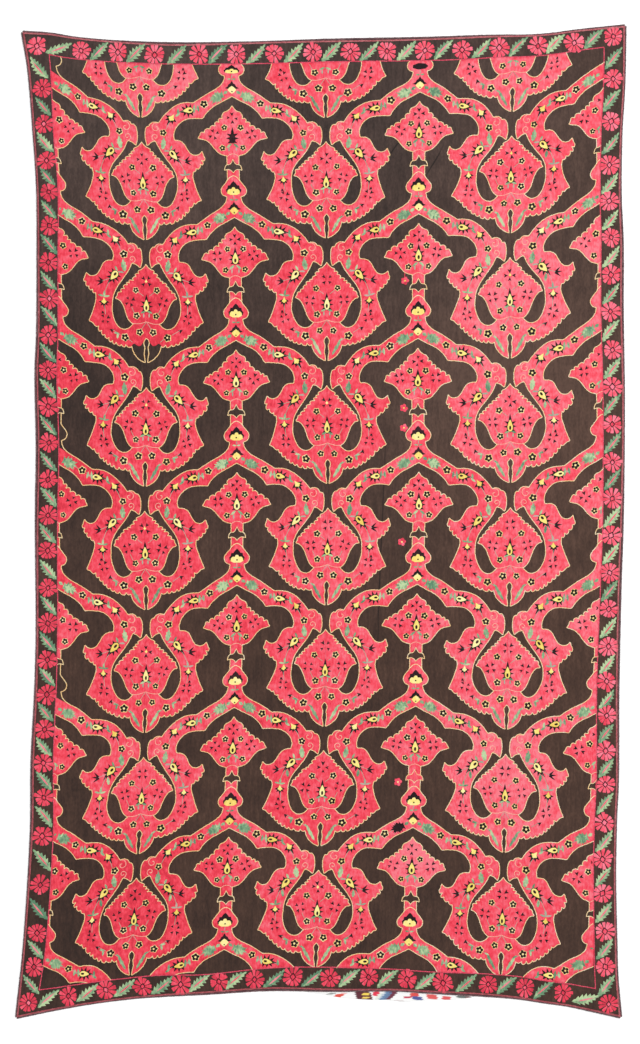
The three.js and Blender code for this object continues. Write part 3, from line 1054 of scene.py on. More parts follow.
def chain_row(gatherer, path, stitch, lift=LOOP_LIFT, within=None, tone=0.0):
    """Sews loops along a path on the cloth, keeping those that lie within an outline."""
    width, pitch, rise = stitch
    length = np.linalg.norm(np.diff(path, axis=0), axis=1).sum()
    count = max(1, round(length / pitch))
    stations = resample(path, count)
    start = stations[:-1]
    step = stations[1:] - start
    if within is not None:
        kept = inside(within, start + step / 2)
        start = start[kept]
        step = step[kept]
    if len(start) == 0:
        return
    reach = np.linalg.norm(step, axis=1)
    ahead = step / np.maximum(reach, 1e-6)[:, None]
    left = np.column_stack([-ahead[:, 1], ahead[:, 0]])
    wide = width * stitch_random.uniform(*LOOP_WIDTHS, len(start))
    sway = stitch_random.normal(0, LOOP_SWAY * width, len(start))
    along, across, height = LOOP_POINTS.T
    plan_points = (start[:, None] + along[None, :, None] * step[:, None]
                   + (across[None, :] * wide[:, None] + sway[:, None])[..., None] * left[:, None])
    middle = start + step / 2
    base = lie(middle[:, 0], middle[:, 1]) + lift
    z = base[:, None] + height[None, :] * rise
    points = np.concatenate([plan_points, z[..., None]], axis=2).reshape(-1, 3)
    offsets = np.arange(len(start))[:, None, None] * len(LOOP_POINTS)
    triangles = (LOOP_TRIANGLES[None] + offsets).reshape(-1, 3)
    tones = np.repeat(stitch_random.normal(tone, LOOP_TONES, len(start)), len(LOOP_POINTS))
    gatherer.add(points, triangles, tones)


# %% The cream outlines, in three meshes from head to foot
OUTLINE_PARTS = {"head": ROWS[0:3], "middle": ROWS[3:6], "foot": ROWS[6:9]}
PALER_TO_RIGHT = 0.17
MIDDLE_COLUMN = 4


def outline_half(cream, thin_lines, cell):
    """Sews the cream outlines of a half, and the thin lines inside its silk."""
    paler = PALER_TO_RIGHT * (cell.column - MIDDLE_COLUMN)
    for line in half_of(cell)["plain" if cell.name == LEFT_OUT else "lines"]:
        chain_row(cream, cell.place(line), OUTLINE_STITCH, within=field_outline, tone=paler)
    for line in LIGHT_LINES:
        chain_row(thin_lines, cell.place(line), THIN_STITCH, FILL_LIFT, field_outline)
    if UNFINISHED.get(cell.name) != "no_knot":
        chain_row(cream, cell.place(KNOT_DOME), KNOT_STITCH, FILL_LIFT, field_outline)


def outline_star(cream, column, row):
    """Sews the four sides of the star in a stem."""
    for side in (-1, 1):
        for run in STAR_SIDES:
            x, y = (smooth_path(run, 2.0) * (side, 1) + (0, STAR_HEIGHT)).T
            line = lattice_to_cloth(column + x / MOTIF_HALF, row - y / ROW_PITCH)
            chain_row(cream, line, STAR_STITCH, within=field_outline)


thin_lines = Gatherer("thin_cream_lines", thin_silk)
for part, rows in OUTLINE_PARTS.items():
    cream = Gatherer(f"cream_outline_{part}", cream_silk)
    for cell in cells:
        if cell.row in rows:
            outline_half(cream, thin_lines, cell)
    for row in rows:
        for column in STEM_COLUMNS:
            outline_star(cream, column, row)
    cream.make("cream_silk")
thin_piece = thin_lines.make("cream_silk")

# %% [markdown]
# ## Petals, buds and leaves
# The small filling motifs are single satin patches that stand a little proud of the silk. Each is an
# outline with a raised middle, so it catches light like padded thread. They are described by name, place
# and size in the motif's own sizes, and every cell draws its own copy with a slightly unsteady hand.

# %% Small shapes of unit size, along and across
def both_sides(half):
    """A whole outline from half of one, mirrored on the way back."""
    return np.array(half + [(x, -y) for x, y in reversed(half) if y])


PETAL = both_sides([(0, -0.15), (0.4, -0.44), (0.72, -0.47), (0.94, -0.2), (1.02, 0)])
WEDGE = both_sides([(-0.6, 0), (0.1, -0.42), (0.5, -0.56), (0.22, 0)])
NOTCHED = both_sides([(0, -0.1), (0.35, -0.23), (0.72, -0.35), (0.93, -0.37), (1, -0.2), (0.95, 0)])
BLADE = both_sides([(-0.5, 0), (-0.28, -0.36), (0, -0.5), (0.25, -0.36), (0.5, 0)])
DROP = both_sides([(0.5, 0), (0.22, 0.26), (-0.08, 0.46), (-0.33, 0.42), (-0.5, 0.15)])
SPIKE = both_sides([(0, -0.5), (0.45, -0.36), (1, 0)])
LOZENGE = both_sides([(-0.42, 0), (-0.3, -0.16), (-0.04, -0.5), (0.16, -0.22), (0.58, 0)])
JAGGED = np.array([(-0.5, 0), (-0.36, -0.3), (-0.16, -0.34), (-0.08, -0.5), (0.06, -0.34), (0.2, -0.4),
                   (0.24, -0.2), (0.5, 0), (0.26, 0.22), (0.22, 0.42), (0.04, 0.32), (-0.06, 0.5),
                   (-0.18, 0.34), (-0.36, 0.32)])
VINE = np.array([(-0.5, 0), (-0.42, -0.24), (-0.2, -0.34), (0.02, -0.56), (0.06, -0.3), (0.3, -0.4),
                 (0.24, -0.16), (0.56, -0.04), (0.26, 0.14), (0.36, 0.42), (0.08, 0.28), (-0.04, 0.56),
                 (-0.2, 0.32), (-0.42, 0.22)])


def disc(count, scallop=0.0):
    """A round outline, or one with lobes."""
    angle = np.arange(count) * 2 * math.pi / count
    reach = 0.5 * (1 - scallop * (np.arange(count) % 2))
    return np.column_stack([reach * np.cos(angle), reach * np.sin(angle)])


def turned(shape, x, y, degrees, long, wide):
    """A unit shape made long and wide, turned, and set down at a place."""
    angle = math.radians(degrees)
    sized = shape * (long, wide)
    across = (-math.sin(angle), math.cos(angle))
    return sized[:, :1] * (math.cos(angle), math.sin(angle)) + sized[:, 1:] * across + (x, y)


# %% Thread colours for the small motifs
black = Gatherer("black_petals", black_silk)
yellow = Gatherer("yellow_petals", yellow_silk)
pale = Gatherer("cream_petals", petal_cream)
green = Gatherer("green_leaves", green_silk)
stems = Gatherer("grey_green_stems", stem_silk)
crimson = Gatherer("border_petals", petal_silk)
small_random = np.random.default_rng(11)

# %% Named motifs, each a list of groups of patches
ON_SILK = FILL_LIFT + 0.1


def satin(colour, outline, above=0.0, rise=0.4):
    """One satin patch: how far its rim stands above the silk, and how far its middle rises from there."""
    return colour, outline, ON_SILK + above, rise


def place_on(along, across, *shape):
    """One place on a turned shape."""
    return turned(np.array([(along, across)]), *shape)[0]


def rosette(x, y, radius):
    """Five dark petals in a cream ring with a cream eye."""
    start = small_random.uniform(0, 72)
    parts = [satin(pale, turned(disc(10, 0.2), x, y, start, 2.66 * radius, 2.66 * radius), rise=0.2)]
    for step in range(5):
        petal = turned(PETAL, x, y, start + 72 * step, 1.12 * radius, 0.88 * radius)
        parts.append(satin(black, petal, 0.25, 0.35))
    parts.append(satin(pale, turned(disc(6), x, y, start, 0.66 * radius, 0.66 * radius), 0.6, 0.45))
    return [parts]


def cluster(x, y, reach, start):
    """Four dark petals set apart round an empty middle, as a small flower seen from above."""
    parts = []
    for step in range(4):
        angle = start + 90 * step + small_random.uniform(-9, 9)
        away = math.radians(angle)
        place = (x + reach * math.cos(away), y + reach * math.sin(away))
        size = reach * small_random.uniform(0.74, 1.04)
        parts.append([satin(black, turned(WEDGE, *place, angle, size, 0.84 * size), rise=0.45)])
    return parts


# place on a bud along and across it, and the angle and length of the dark ray that leaves it
RAYS = [(-0.24, 0.16, 108, 14), (0.0, 0.16, 82, 16), (0.2, 0.08, 52, 15)]
LONG_RAYS = [(-0.34, 0.08, 114, 13), (-0.1, 0.08, 90, 15.5), (0.12, 0.08, 66, 15)]
RAY_WIDTH = 7.6


def bud(x, y, degrees, long, wide, rays=RAYS):
    """A yellow drop with dark rays at its sides, a dark tip and a dark seed."""
    shape = (x, y, degrees, long, wide)
    parts = []
    for along, across, angle, reach in rays:
        for side in (-1, 1):
            root = place_on(along, side * across, *shape)
            ray = turned(SPIKE, *root, degrees + side * angle, reach, RAY_WIDTH)
            parts.append(satin(black, ray, rise=0.35))
    tip = place_on(0.2, 0, *shape)
    seed = place_on(-0.2, 0, *shape)
    parts.append(satin(black, turned(SPIKE, *tip, degrees, 0.74 * long, 0.6 * wide)))
    parts.append(satin(black, turned(DROP, x, y, degrees, 1.12 * long, 1.28 * wide), rise=0.3))
    parts.append(satin(yellow, turned(DROP, *shape), 0.3, 0.7))
    parts.append(satin(black, turned(disc(8), *seed, degrees, 0.36 * long, 0.36 * wide), 0.9, 0.3))
    return [parts]


def tulip(x, y, degrees, size):
    """A yellow lozenge that opens into dark pointed petals."""
    parts = []
    for angle, reach in ((-84, 0.72), (-42, 0.7), (0, 0.95), (42, 0.7), (84, 0.72)):
        petal = turned(SPIKE, x, y, degrees + angle, reach * size, 0.44 * size)
        parts.append(satin(black, petal, rise=0.35))
    parts.append(satin(yellow, turned(LOZENGE, x, y, degrees + 180, 0.86 * size, 0.76 * size), 0.2, 0.6))
    return [parts]


# %% Leaves and fans
WIDE_LEAF = 8.5


def leaf(x, y, degrees, long, wide, colour=green):
    """A small pointed leaf, or a larger one with jagged sides."""
    shape = JAGGED if wide > WIDE_LEAF else BLADE
    return [[satin(colour, turned(shape, x, y, degrees, long, wide), rise=0.55)]]


def fan(x, y, degrees, size, spread):
    """Three dark pointed petals that open from one root."""
    return [[satin(black, turned(SPIKE, x, y, degrees + turn, size, 0.34 * size))
             for turn in (-spread, 0, spread)]]


# place along a vine leaf, and the angle and length of the stitches that leave it
VINE_RAYS = [(-0.3, 118, 0.38), (-0.22, 82, 0.48), (-0.04, 62, 0.52), (0.16, 44, 0.46)]


def vine_leaf(x, y, degrees, long, wide, colour):
    """A lobed leaf, as a small blade with long stitches that fan out from it."""
    parts = [satin(colour, turned(VINE, x, y, degrees, 0.86 * long, 0.84 * wide), rise=0.55)]
    for along, angle, reach in VINE_RAYS:
        for side in (-1, 1):
            root = place_on(along, 0, x, y, degrees, long, wide)
            size = reach * wide * small_random.uniform(0.85, 1.15)
            parts.append(satin(colour, turned(SPIKE, *root, degrees + side * angle, size, 0.2 * wide), 0.1))
    return [parts]


# %% What fills half of each motif
# middle x and y, and radius
ROSETTES = [(56, 26, 8.4), (160, 99, 8.6), (27, -63, 7.5), (25, -128, 7.5), (17, -169, 8.0), (54, -183, 9.0),
            (210, 346, 7.3), (205, 294, 6.9)]
DARK_VINE_LEAF = (3, 1, 7)


def half_filling(cell):
    """The small motifs of half a repeat, off its axes."""
    parts = []
    for x, y, radius in ROSETTES:
        parts += rosette(x, y, radius * small_random.uniform(0.88, 1.04))
    parts += bud(119, 81, 188, 26, 15) + bud(82, -31, -50, 29, 17)
    parts += tulip(77, 63, 235, 23) + tulip(107, -95, -92, 19)
    parts += leaf(55.5, -1.5, 80, 32, 15.5)
    if cell.row > 5 or (cell.column == 5 and cell.side > 0):
        parts += leaf(88, -54, 82, 21, 9)
    parts += fan(111, -46, 6, 18, 42) + fan(111, -119, -95, 9, 26)
    parts += [[satin(black, turned(WEDGE, 88, -165, small_random.uniform(150, 330), 11, 9))]]
    parts += cluster(105, -138, 9.5, small_random.uniform(20, 60))
    parts += cluster(43, -92, 10, small_random.uniform(20, 60))
    parts += cluster(184, 329, 10, small_random.uniform(0, 60))
    if cell.side < 0 or (cell.row + cell.column) % 2 == 0:
        parts += leaf(76, -172, 8, 15, 5.5) + leaf(73, -179, 100, 16, 6)
    if UNFINISHED.get(cell.name) != "no_beak":
        parts += leaf(26, -208, 60, 52, 9.4) + leaf(35, -192, 25, 13, 4)
    parts += vine_leaf(192, 115, 203, 41, 31, black if cell.name == DARK_VINE_LEAF else green)
    parts += leaf(214, 127, 35, 13, 8) + leaf(135, 85, 84, 24, 6) + leaf(145, 87, 100, 18, 6)
    parts += leaf(142, 85, 10, 9, 3.6, stems)
    parts += leaf(94, 79, 84, 17, 6) + leaf(92, 71, 215, 15, 6)
    parts += leaf(63, -20, 4, 17, 4.4, stems) + leaf(75, -12, 66, 15, 5.5)
    for calyx_leaf in ((100, -82, 168, 16, 5), (114, -81, 14, 15, 5), (106, -76, 95, 17, 6)):
        parts += leaf(*calyx_leaf, green if cell.side < 0 else stems)
    return parts


HALF_STEMS = [[(63, 34), (70, 50), (78, 60)], [(92, 74), (106, 80)], [(134, 84), (150, 94)],
              [(168, 102), (180, 108)], [(55, 16), (55, 8)], [(58, -17), (70, -22)],
              [(92, -42), (100, -58), (105, -72)], [(106, -104), (104, -126)], [(86, -163), (66, -176)],
              [(45, -187), (36, -194)], [(112, -45), (98, -40), (92, -38)], [(20, -68), (7, -78)],
              [(31, -121), (38, -106)], [(1, -144), (8, -154), (12, -161)]]


# %% What stands on the axes
def fruit_filling():
    """The small motifs on a fruit's axis, where x is 0."""
    parts = cluster(0, -41, 10.5, small_random.choice([0, 45]))
    if small_random.uniform() < 0.5:
        parts += [[satin(yellow, turned(LOZENGE, 0, -41, 90, 10, 7.5), 0.2, 0.5)]]
    parts += bud(0, -101, 90, 31, 15, LONG_RAYS)
    for side in (-1, 1):
        parts += leaf(side * 8, -118, side * 66 - 90, 16, 5.5) + leaf(side * 7, -126, 90, 12, 4, stems)
    return parts


def crown_filling(dark=False):
    """The small motifs in a stem's top flower. In the one dark crown only the dark silk was sewn."""
    parts = cluster(STEM_AXIS, 370, 10, 0)
    if dark:
        parts += [[part for part in bud(STEM_AXIS, 321, 90, 28, 14, LONG_RAYS)[0] if part[0] is black]]
    else:
        parts += bud(STEM_AXIS, 323, 90, 30, 16.5, LONG_RAYS)
    for side in (-1, 1):
        x = STEM_AXIS + side * 9
        parts += leaf(x, 300, side * 50 - 90, 18, 6) + leaf(x, 291, 90, 13, 4, stems)
    return parts


# %% The knot and the parting below it
def half_round(x, y, half_width, height):
    """A dome on a level base, in thirteen points."""
    angle = np.linspace(0, math.pi, 13)
    return np.column_stack([x + half_width * np.cos(angle), y + height * np.sin(angle)])


KNOT_BASE = 180
KNOT_PETAL = [(214, 178), (215, 185), (219, 189), (224, 189), (226, 194), (230, 196), (234, 194), (236, 189),
              (241, 189), (245, 185), (246, 178), (238, 174), (222, 174)]
# from the stem's axis out to one side
CHEVRON = [(0, 157), (4, 150), (8, 148), (11, 142), (18, 138), (11, 136), (0, 138)]
PARTING = [(230, 147), (235, 141), (241, 134), (236, 128), (230, 124), (224, 128), (219, 134), (225, 141)]
LOW_KNOT = 0.62


def half_flower(low):
    """A notched dark dome with a lobed yellow petal on it and a dark seed."""
    dome_top = half_round(STEM_AXIS, 181, 20, 24)
    dome_top[::2] = half_round(STEM_AXIS, 181, 18, 20)[::2]
    dome_top[6] += (0, 8)
    dark_part = np.vstack([dome_top, [(217, 176), (243, 176)]])
    yellow_part = np.array(KNOT_PETAL)
    for shape in (dark_part, yellow_part):
        shape[:, 1] = KNOT_BASE + (shape[:, 1] - KNOT_BASE) * (LOW_KNOT if low else 1.0)
    return [satin(black, dark_part), satin(yellow, yellow_part, 0.2, 0.8),
            satin(black, turned(disc(6), STEM_AXIS, 181, 0, 4.2, 4.2), 0.9, 0.2)]


def knot_filling(dark=False, low=False):
    """The half-flower in the knot, and the small flower where the branches part below it."""
    if dark:
        parts = [[satin(black, turned(disc(14, 0.1), STEM_AXIS, 183, 0, 40, 17))]]
    else:
        parts = [half_flower(low)]
    parts += leaf(STEM_AXIS, 168, 90, 12, 2.2, stems)
    for side in (-1, 1):
        parts += leaf(STEM_AXIS + side * 5.5, 161.5, 90 - side * 82, 11, 4.2)
        parts += leaf(STEM_AXIS + side * 15, 127, 90 - side * 60, 9, 5)
    out = [(STEM_AXIS + x, y) for x, y in CHEVRON]
    back = [(STEM_AXIS - x, y) for x, y in CHEVRON[-2:0:-1]]
    parts += [[satin(black, np.array(out + back)), satin(yellow, np.array(PARTING, float), 0.2, 0.8),
               satin(black, turned(disc(6), STEM_AXIS, 129, 0, 3.6, 3.6), 0.9, 0.2)]]
    return parts


# %% Sewing the small motifs down
# how far a patch strays, and how much of a group or a patch must lie in the field for it to be sewn
UNSTEADY = 0.26
MOSTLY = 0.72
SPARED = 0.5
STEM_WIDTH = 1.3


def dome(gatherer, rim, lift, rise, shade=0.0, varied=0.45):
    """A plump patch on the cloth: low at its rim, raised in its middle, its shade varied a little."""
    rim = anticlockwise(rim)
    plan_points = np.vstack([rim, rim.mean(0)])
    height = lie(plan_points[:, 0], plan_points[:, 1]) + lift
    height[-1] += rise
    i = np.arange(len(rim))
    triangles = np.c_[i, (i + 1) % len(rim), np.full(len(rim), len(rim))]
    gatherer.add(np.column_stack([plan_points, height]), triangles, shade + small_random.normal(0, varied))


def drawn_in(points):
    """The points, with those past the border line moved to the nearest place on it."""
    start = stitch_limit
    run = np.roll(stitch_limit, -1, axis=0) - start
    outside = ~inside(stitch_limit, points)
    away = points[outside][:, None] - start
    t = np.clip((away * run).sum(2) / (run**2).sum(1), 0, 1)
    short = away - t[:, :, None] * run
    nearest = np.argmin((short**2).sum(2), axis=1)
    points = points.copy()
    points[outside] -= short[np.arange(len(nearest)), nearest]
    return points


def sew(cell, groups):
    """Puts a cell's groups on the cloth: cut off at the border line, or left out if mostly past it."""
    shaken = [outline + small_random.normal(0, UNSTEADY, 2) for group in groups for _, outline, _, _ in group]
    drawn = cell.place(np.vstack(shaken))
    kept = inside(stitch_limit, drawn)
    start = 0
    for group in groups:
        ends = start + np.cumsum([len(outline) for _, outline, _, _ in group])
        if kept[start:ends[-1]].mean() > MOSTLY:
            for (gatherer, outline, lift, rise), end in zip(group, ends):
                patch = drawn[end - len(outline):end]
                share = kept[end - len(outline):end].mean()
                if share > SPARED:
                    dome(gatherer, patch if share == 1 else drawn_in(patch), lift, rise)
        start = ends[-1]


# %% Ribbons of thread
def halved(quads):
    """Two triangles from each four-cornered face."""
    return np.vstack([quads[:, [0, 2, 1]], quads[:, [0, 3, 2]]])


def ribbon(gatherer, path, width, lift, rise=0.3):
    """A line of thread as a narrow ridged strip."""
    left = directions(path)[1] * width / 2
    rows = np.stack([path + left, path, path - left], axis=1)
    flat = rows.reshape(-1, 2)
    height = lie(flat[:, 0], flat[:, 1]) + lift + np.tile([0, rise, 0], len(path))
    k = np.arange(len(path) - 1)[:, None] * 3
    triangles = halved(np.vstack([k + [0, 1, 4, 3], k + [1, 2, 5, 4]]))
    gatherer.add(np.column_stack([flat, height]), triangles, small_random.normal(0, 0.4))


# %% Every small motif in its place
for cell in cells:
    sew(cell, half_filling(cell))
    for stem in HALF_STEMS:
        path = cell.place(smooth_path(stem, 7.0))
        if inside(stitch_limit, path).all():
            ribbon(stems, path, STEM_WIDTH, ON_SILK + 0.05)
    if cell.side == 1:
        sew(cell, fruit_filling())

# stem column and row
DARK_KNOT = (4, 1)
DARK_CROWN = (2, 2)
LOW_KNOT_ROW = 1
for row in ROWS:
    for column in STEM_COLUMNS:
        cell = cell_named[max(column - 1, 1), 1 if column else -1, row]
        crown = crown_filling((column, row) == DARK_CROWN)
        sew(cell, crown + knot_filling((column, row) == DARK_KNOT, row == LOW_KNOT_ROW))

small_motifs = (black, yellow, pale, green, stems)
print("small motifs:", {colour.name: sum(len(t) for t in colour.triangles) for colour in small_motifs})

# %% [markdown]
# ## The border
# Between a red line near the edge and the red line round the field runs a chain of pink daisies with a
# toothed green leaf between each two. The maker stepped them off by eye, so their places are uneven, and
# they crowd the field's line here and there.

# %% Where the daisies sit
HEAD_LEFT = (-715, 1197)
HEAD_RIGHT = (738, 1220)
FOOT_LEFT = (-735, -1209)
FOOT_RIGHT = (723, -1214)
# for each side, the daisy at its first corner, x or y of those between, and the daisy at its last corner
DAISIES = {
    "head": (HEAD_LEFT, [-604, -512, -418, -307, -211, -117, -21, 74, 168, 262, 356, 450, 545, 637],
             HEAD_RIGHT),
    "foot": (FOOT_LEFT, [-635, -541, -448, -352, -259, -166, -70, 23, 121, 217, 308, 423, 514, 610],
             FOOT_RIGHT),
    "left": (HEAD_LEFT, [1089, 1001, 910, 828, 744, 652, 562, 471, 380, 289, 197, 106, 16, -75, -166, -256,
                         -347, -436, -522, -609, -696, -789, -915, -1033, -1120], FOOT_LEFT),
    "right": (HEAD_RIGHT, [1112, 1006, 898, 805, 714, 620, 527, 433, 340, 246, 152, 59, -34, -127, -220,
                           -313, -402, -490, -577, -663, -756, -850, -937, -1029, -1121], FOOT_RIGHT),
}
# of the way from the edge to the border line
BORDER_MIDDLE = 0.57


def border_places(side, along):
    """Places in the middle of the border, given along a side as x for head and foot, else y."""
    line = inset_line(side, BORDER_WIDTH[side])
    edge = inset_line(side, 0.0)
    middle = edge + (line - edge) * BORDER_MIDDLE
    axis = 0 if side in ("head", "foot") else 1
    order = np.argsort(middle[:, axis])
    across = np.interp(along, middle[order, axis], middle[order, 1 - axis])
    return np.column_stack([along, across] if axis == 0 else [across, along])


print("daisies:", 4 + sum(len(along) for _, along, _ in DAISIES.values()))

# %% A daisy
FLOWER_RADIUS = 24.3
# of a daisy's radius: where its petals start, and how much of the way round they fill
PETAL_START = 0.22
PETAL_FILL = 0.87
EYE_SIZE = 0.52
# corners of the dark diamond in the eye, from the middle, with the first again at the end
EYE_DIAMOND = np.array([(0.34, 0), (0, 0.27), (-0.34, 0), (0, -0.27), (0.34, 0)])


def daisy(centre, radius, shade):
    """Wedge-shaped petals with gaps between them, round an eye with a dark diamond drawn in it."""
    petals = int(small_random.integers(10, 13))
    start = small_random.uniform(0, 40)
    eye = centre + small_random.normal(0, 1.2, 2)
    for step in range(petals):
        angle = start + 360 / petals * (step + small_random.normal(0, 0.06))
        inner = PETAL_START * radius
        away = math.radians(angle)
        root = eye + (inner * math.cos(away), inner * math.sin(away))
        long = radius * small_random.uniform(0.88, 1.12) - inner
        wide = PETAL_FILL * 2 * math.pi * radius / petals
        dome(crimson, turned(NOTCHED, *root, angle, long, wide), 0.1, 0.5, shade, 0.25)
    dome(crimson, turned(disc(6), *eye, start, EYE_SIZE * radius, EYE_SIZE * radius), 0.2, 0.5, shade)
    corners = EYE_DIAMOND * small_random.uniform(0.85, 1.1)
    diamond = turned(corners, *eye, 90 + small_random.normal(0, 14), radius, radius)
    ribbon(black, diamond, 2.6, 0.65)


# %% A toothed leaf
LEAF_TEETH = 7
LEAF_PLUMPNESS = 0.8
LEAF_BOW = 4.5
# of a leaf's half-width: its body between the teeth, and how much further the teeth reach
LEAF_BODY = 0.56
TOOTH_REACH = 0.56
# of a leaf's length: how far forward a tooth points
TOOTH_LEAN = 0.07


def toothed_leaf(base, tip, half_width, shade):
    """A leaf between two points with forward-pointing teeth, its halves unlike in tone, and a red vein."""
    base = np.array(base)
    run = np.array(tip) - base
    across = np.array([-run[1], run[0]]) / np.linalg.norm(run)
    bow = small_random.uniform(-LEAF_BOW, LEAF_BOW)
    t = np.linspace(0, 1, 2 * LEAF_TEETH + 1)
    belly = np.sin(np.pi * t**0.8) ** 0.95
    tooth = np.arange(len(t)) % 2
    spread = half_width * belly * (LEAF_BODY + TOOTH_REACH * tooth * small_random.uniform(0.75, 1.2, len(t)))
    forward = TOOTH_LEAN * tooth * belly
    middle = base + run * t[:, None] + across * (bow * np.sin(np.pi * t))[:, None]
    left = middle + run * forward[:, None] + across * spread[:, None]
    right = middle + run * forward[:, None] - across * spread[:, None]
    k = np.arange(len(t) - 1)[:, None] * 2
    triangles = halved(k + [0, 1, 3, 2])
    for upper, lower, lift in ((left, middle, [0.0, LEAF_PLUMPNESS]), (middle, right, [LEAF_PLUMPNESS, 0.0])):
        flat = np.stack([upper, lower], axis=1).reshape(-1, 2)
        height = lie(flat[:, 0], flat[:, 1]) + np.tile(lift, len(t))
        green.add(np.column_stack([flat, height]), triangles, shade + small_random.normal(0, 0.35))
    angle = math.degrees(math.atan2(run[1], run[0]))
    length = np.linalg.norm(run)
    dome(stems, turned(BLADE, *middle[LEAF_TEETH], angle, 0.64 * length, 5.0), LEAF_PLUMPNESS, 0.2, 0.8)
    dome(crimson, turned(BLADE, *middle[LEAF_TEETH], angle, 0.56 * length, 3.0), 0.95, 0.3, 0.5)


# %% Daisies and leaves round the border, and stray flowers
# for each side, the leaves' direction from base to tip, how pale they are, and how pale the petals are
BORDER_LOOKS = {"head": (0.69, 0.72, 0.2, 0.35), "foot": (0.77, 0.64, 0.0, -0.4),
                "left": (-0.64, 0.77, -0.3, -0.4), "right": (0.62, 0.79, 0.35, 0.4)}
# beside two corners one leaf lies flatter: for a side and a gap between flowers, its direction
FLATTER = {("head", 0): (0.94, 0.34), ("foot", 14): (0.98, 0.2)}
# of the gap between two daisies that half a leaf takes, its least and most, and a leaf's half-width
LEAF_SHARE = 0.78
LEAF_LENGTHS = (31, 36)
LEAF_HALF_WIDTH = 12.2
for side, (first_daisy, along, last_daisy) in DAISIES.items():
    flowers = np.vstack([first_daisy, border_places(side, along), last_daisy])
    lean_x, lean_y, leaf_shade, petal_shade = BORDER_LOOKS[side]
    for number, flower in enumerate(flowers):
        # head and foot have sewn the corners
        shared = side in ("left", "right") and number in (0, len(flowers) - 1)
        if not shared:
            daisy(flower, FLOWER_RADIUS * small_random.uniform(0.95, 1.06), petal_shade)
    for number, (before, after) in enumerate(zip(flowers[:-1], flowers[1:])):
        middle = (before + after) / 2
        gap = np.linalg.norm(after - before) - 2 * FLOWER_RADIUS
        lean = FLATTER.get((side, number), (lean_x, lean_y))
        half = np.array(lean) * np.clip(gap * LEAF_SHARE, *LEAF_LENGTHS)
        toothed_leaf(middle - half, middle + half, LEAF_HALF_WIDTH * small_random.uniform(0.9, 1.1),
                     leaf_shade + small_random.normal(0, 0.28))

# small stray flowers on the bare ground, each with the length of its stem
STRAYS = [(212, 606, 28), (209, 286, 0), (209, 236, 0), (204, -51, 0), (194, -655, 0)]
for x, y, stem in STRAYS:
    for angle in range(0, 360, 72):
        dome(crimson, turned(PETAL, x, y, angle + 5 * small_random.normal(), 10.5, 9), 0.1, 0.6)
    dome(yellow, turned(disc(6), x, y, 0, 4.5, 4.5), 0.6, 0.4)
    if stem:
        ribbon(crimson, smooth_path([(x, y + 6), (x - 1, y + stem / 2), (x + 1, y + stem)], 5.0), 1.8, 0.1)

# %% Red and rose lines
red_lines = Gatherer("red_chain_lines", red_silk)
edge_lines = Gatherer("rose_edge_lines", rose_silk)
EDGE_SHADES = {"head": 0.6, "foot": -0.3, "left": -0.2, "right": 0.3}
# place along a side from -1 to 1, and how far the line strays inwards there
EDGE_WANDER = [(-1, 0.6), (-0.7, -1.4), (-0.45, 0.8), (-0.1, 2.2), (0.2, -0.6), (0.5, 1.6), (0.8, -1.0),
               (1, 0.6)]
EDGE_LINES = (4.4, 6.4)
for line in field_sides:
    chain_row(red_lines, line, FIELD_STITCH, tone=0.45)
for inset in EDGE_LINES:
    wandering = {side: [(t, inset + step) for t, step in EDGE_WANDER] for side in SIDES}
    for side, line in zip(SIDES, inset_ring(wandering)):
        chain_row(edge_lines, line, EDGE_STITCH, tone=EDGE_SHADES[side])
red_piece = red_lines.make("red_silk")
edge_piece = edge_lines.make("red_silk")
SLOTS = ((black, "black_silk"), (yellow, "yellow_silk"), (pale, "cream_silk"), (green, "green_silk"),
         (stems, "green_silk"), (crimson, "red_silk"))
details = [gatherer.make(slot) for gatherer, slot in SLOTS]

# %% [markdown]
# ## Lining and braid
# A cotton lining printed in feathered colours lies under the face. It is a little too big, so it sags out
# past the foot for a third of the width. Only that strip shows from above, so only there is the sheet
# fine, with the print as point colours whose edges run along the cloth, as resist-dyed threads do.

# %% The lining
LINING_REACH = 1.5
SAG_ROWS = 30
SAG_FROM = -0.985
# x, how far the lining hangs past the foot braid
LINING_SAG = [(-45, 0), (18, 8), (61, 15), (111, 19), (161, 21), (207, 24), (270, 16), (338, 10), (392, 0)]
# middle x, middle depth below the braid, half-width, half-depth, slant, colour, on a white ground
PRINT = [(26, 5, 9, 2.2, -2.5, (156, 160, 156)), (56, 5, 8, 2.5, -1, (246, 196, 196)),
         (45, 10, 11, 4.5, -1.2, (228, 88, 74)), (108, 11, 20, 12, 0.4, (98, 48, 58)),
         (113, 7, 9, 3, 0, (250, 218, 96)), (113, 15.5, 9, 2.2, 0, (246, 214, 104)),
         (139, 6, 8, 5.5, -0.2, (232, 62, 86)), (148, 13, 8, 8, -0.8, (230, 238, 228)),
         (162, 10, 9, 12, -0.9, (108, 138, 174)), (155, 11, 2.4, 9, -0.9, (196, 208, 220)),
         (178, 9, 9, 12, -0.9, (116, 58, 74)), (170, 12, 2.4, 9, -0.9, (104, 128, 164)),
         (198, 23, 12, 1.2, 0, (226, 218, 218)), (218, 14, 9, 2.6, -0.8, (204, 72, 94)),
         (236, 7, 11, 6, 0, (226, 86, 82)), (243, 14.5, 13, 4.5, 0.3, (84, 94, 154)),
         (280, 8, 13, 6, 0.4, (228, 98, 96)), (316, 9, 11, 4.5, -0.2, (226, 94, 96)),
         (359, 4, 17, 3.2, -0.5, (110, 118, 114)), (371, 5, 7, 2.5, 0, (142, 112, 112))]


# x of the fine strip's two ends, its step, and where the coarse lines beside it begin
FINE_STRIP = (-60, 412)
FINE_STEP = 2.4
COARSE_FROM = (-70, 420)
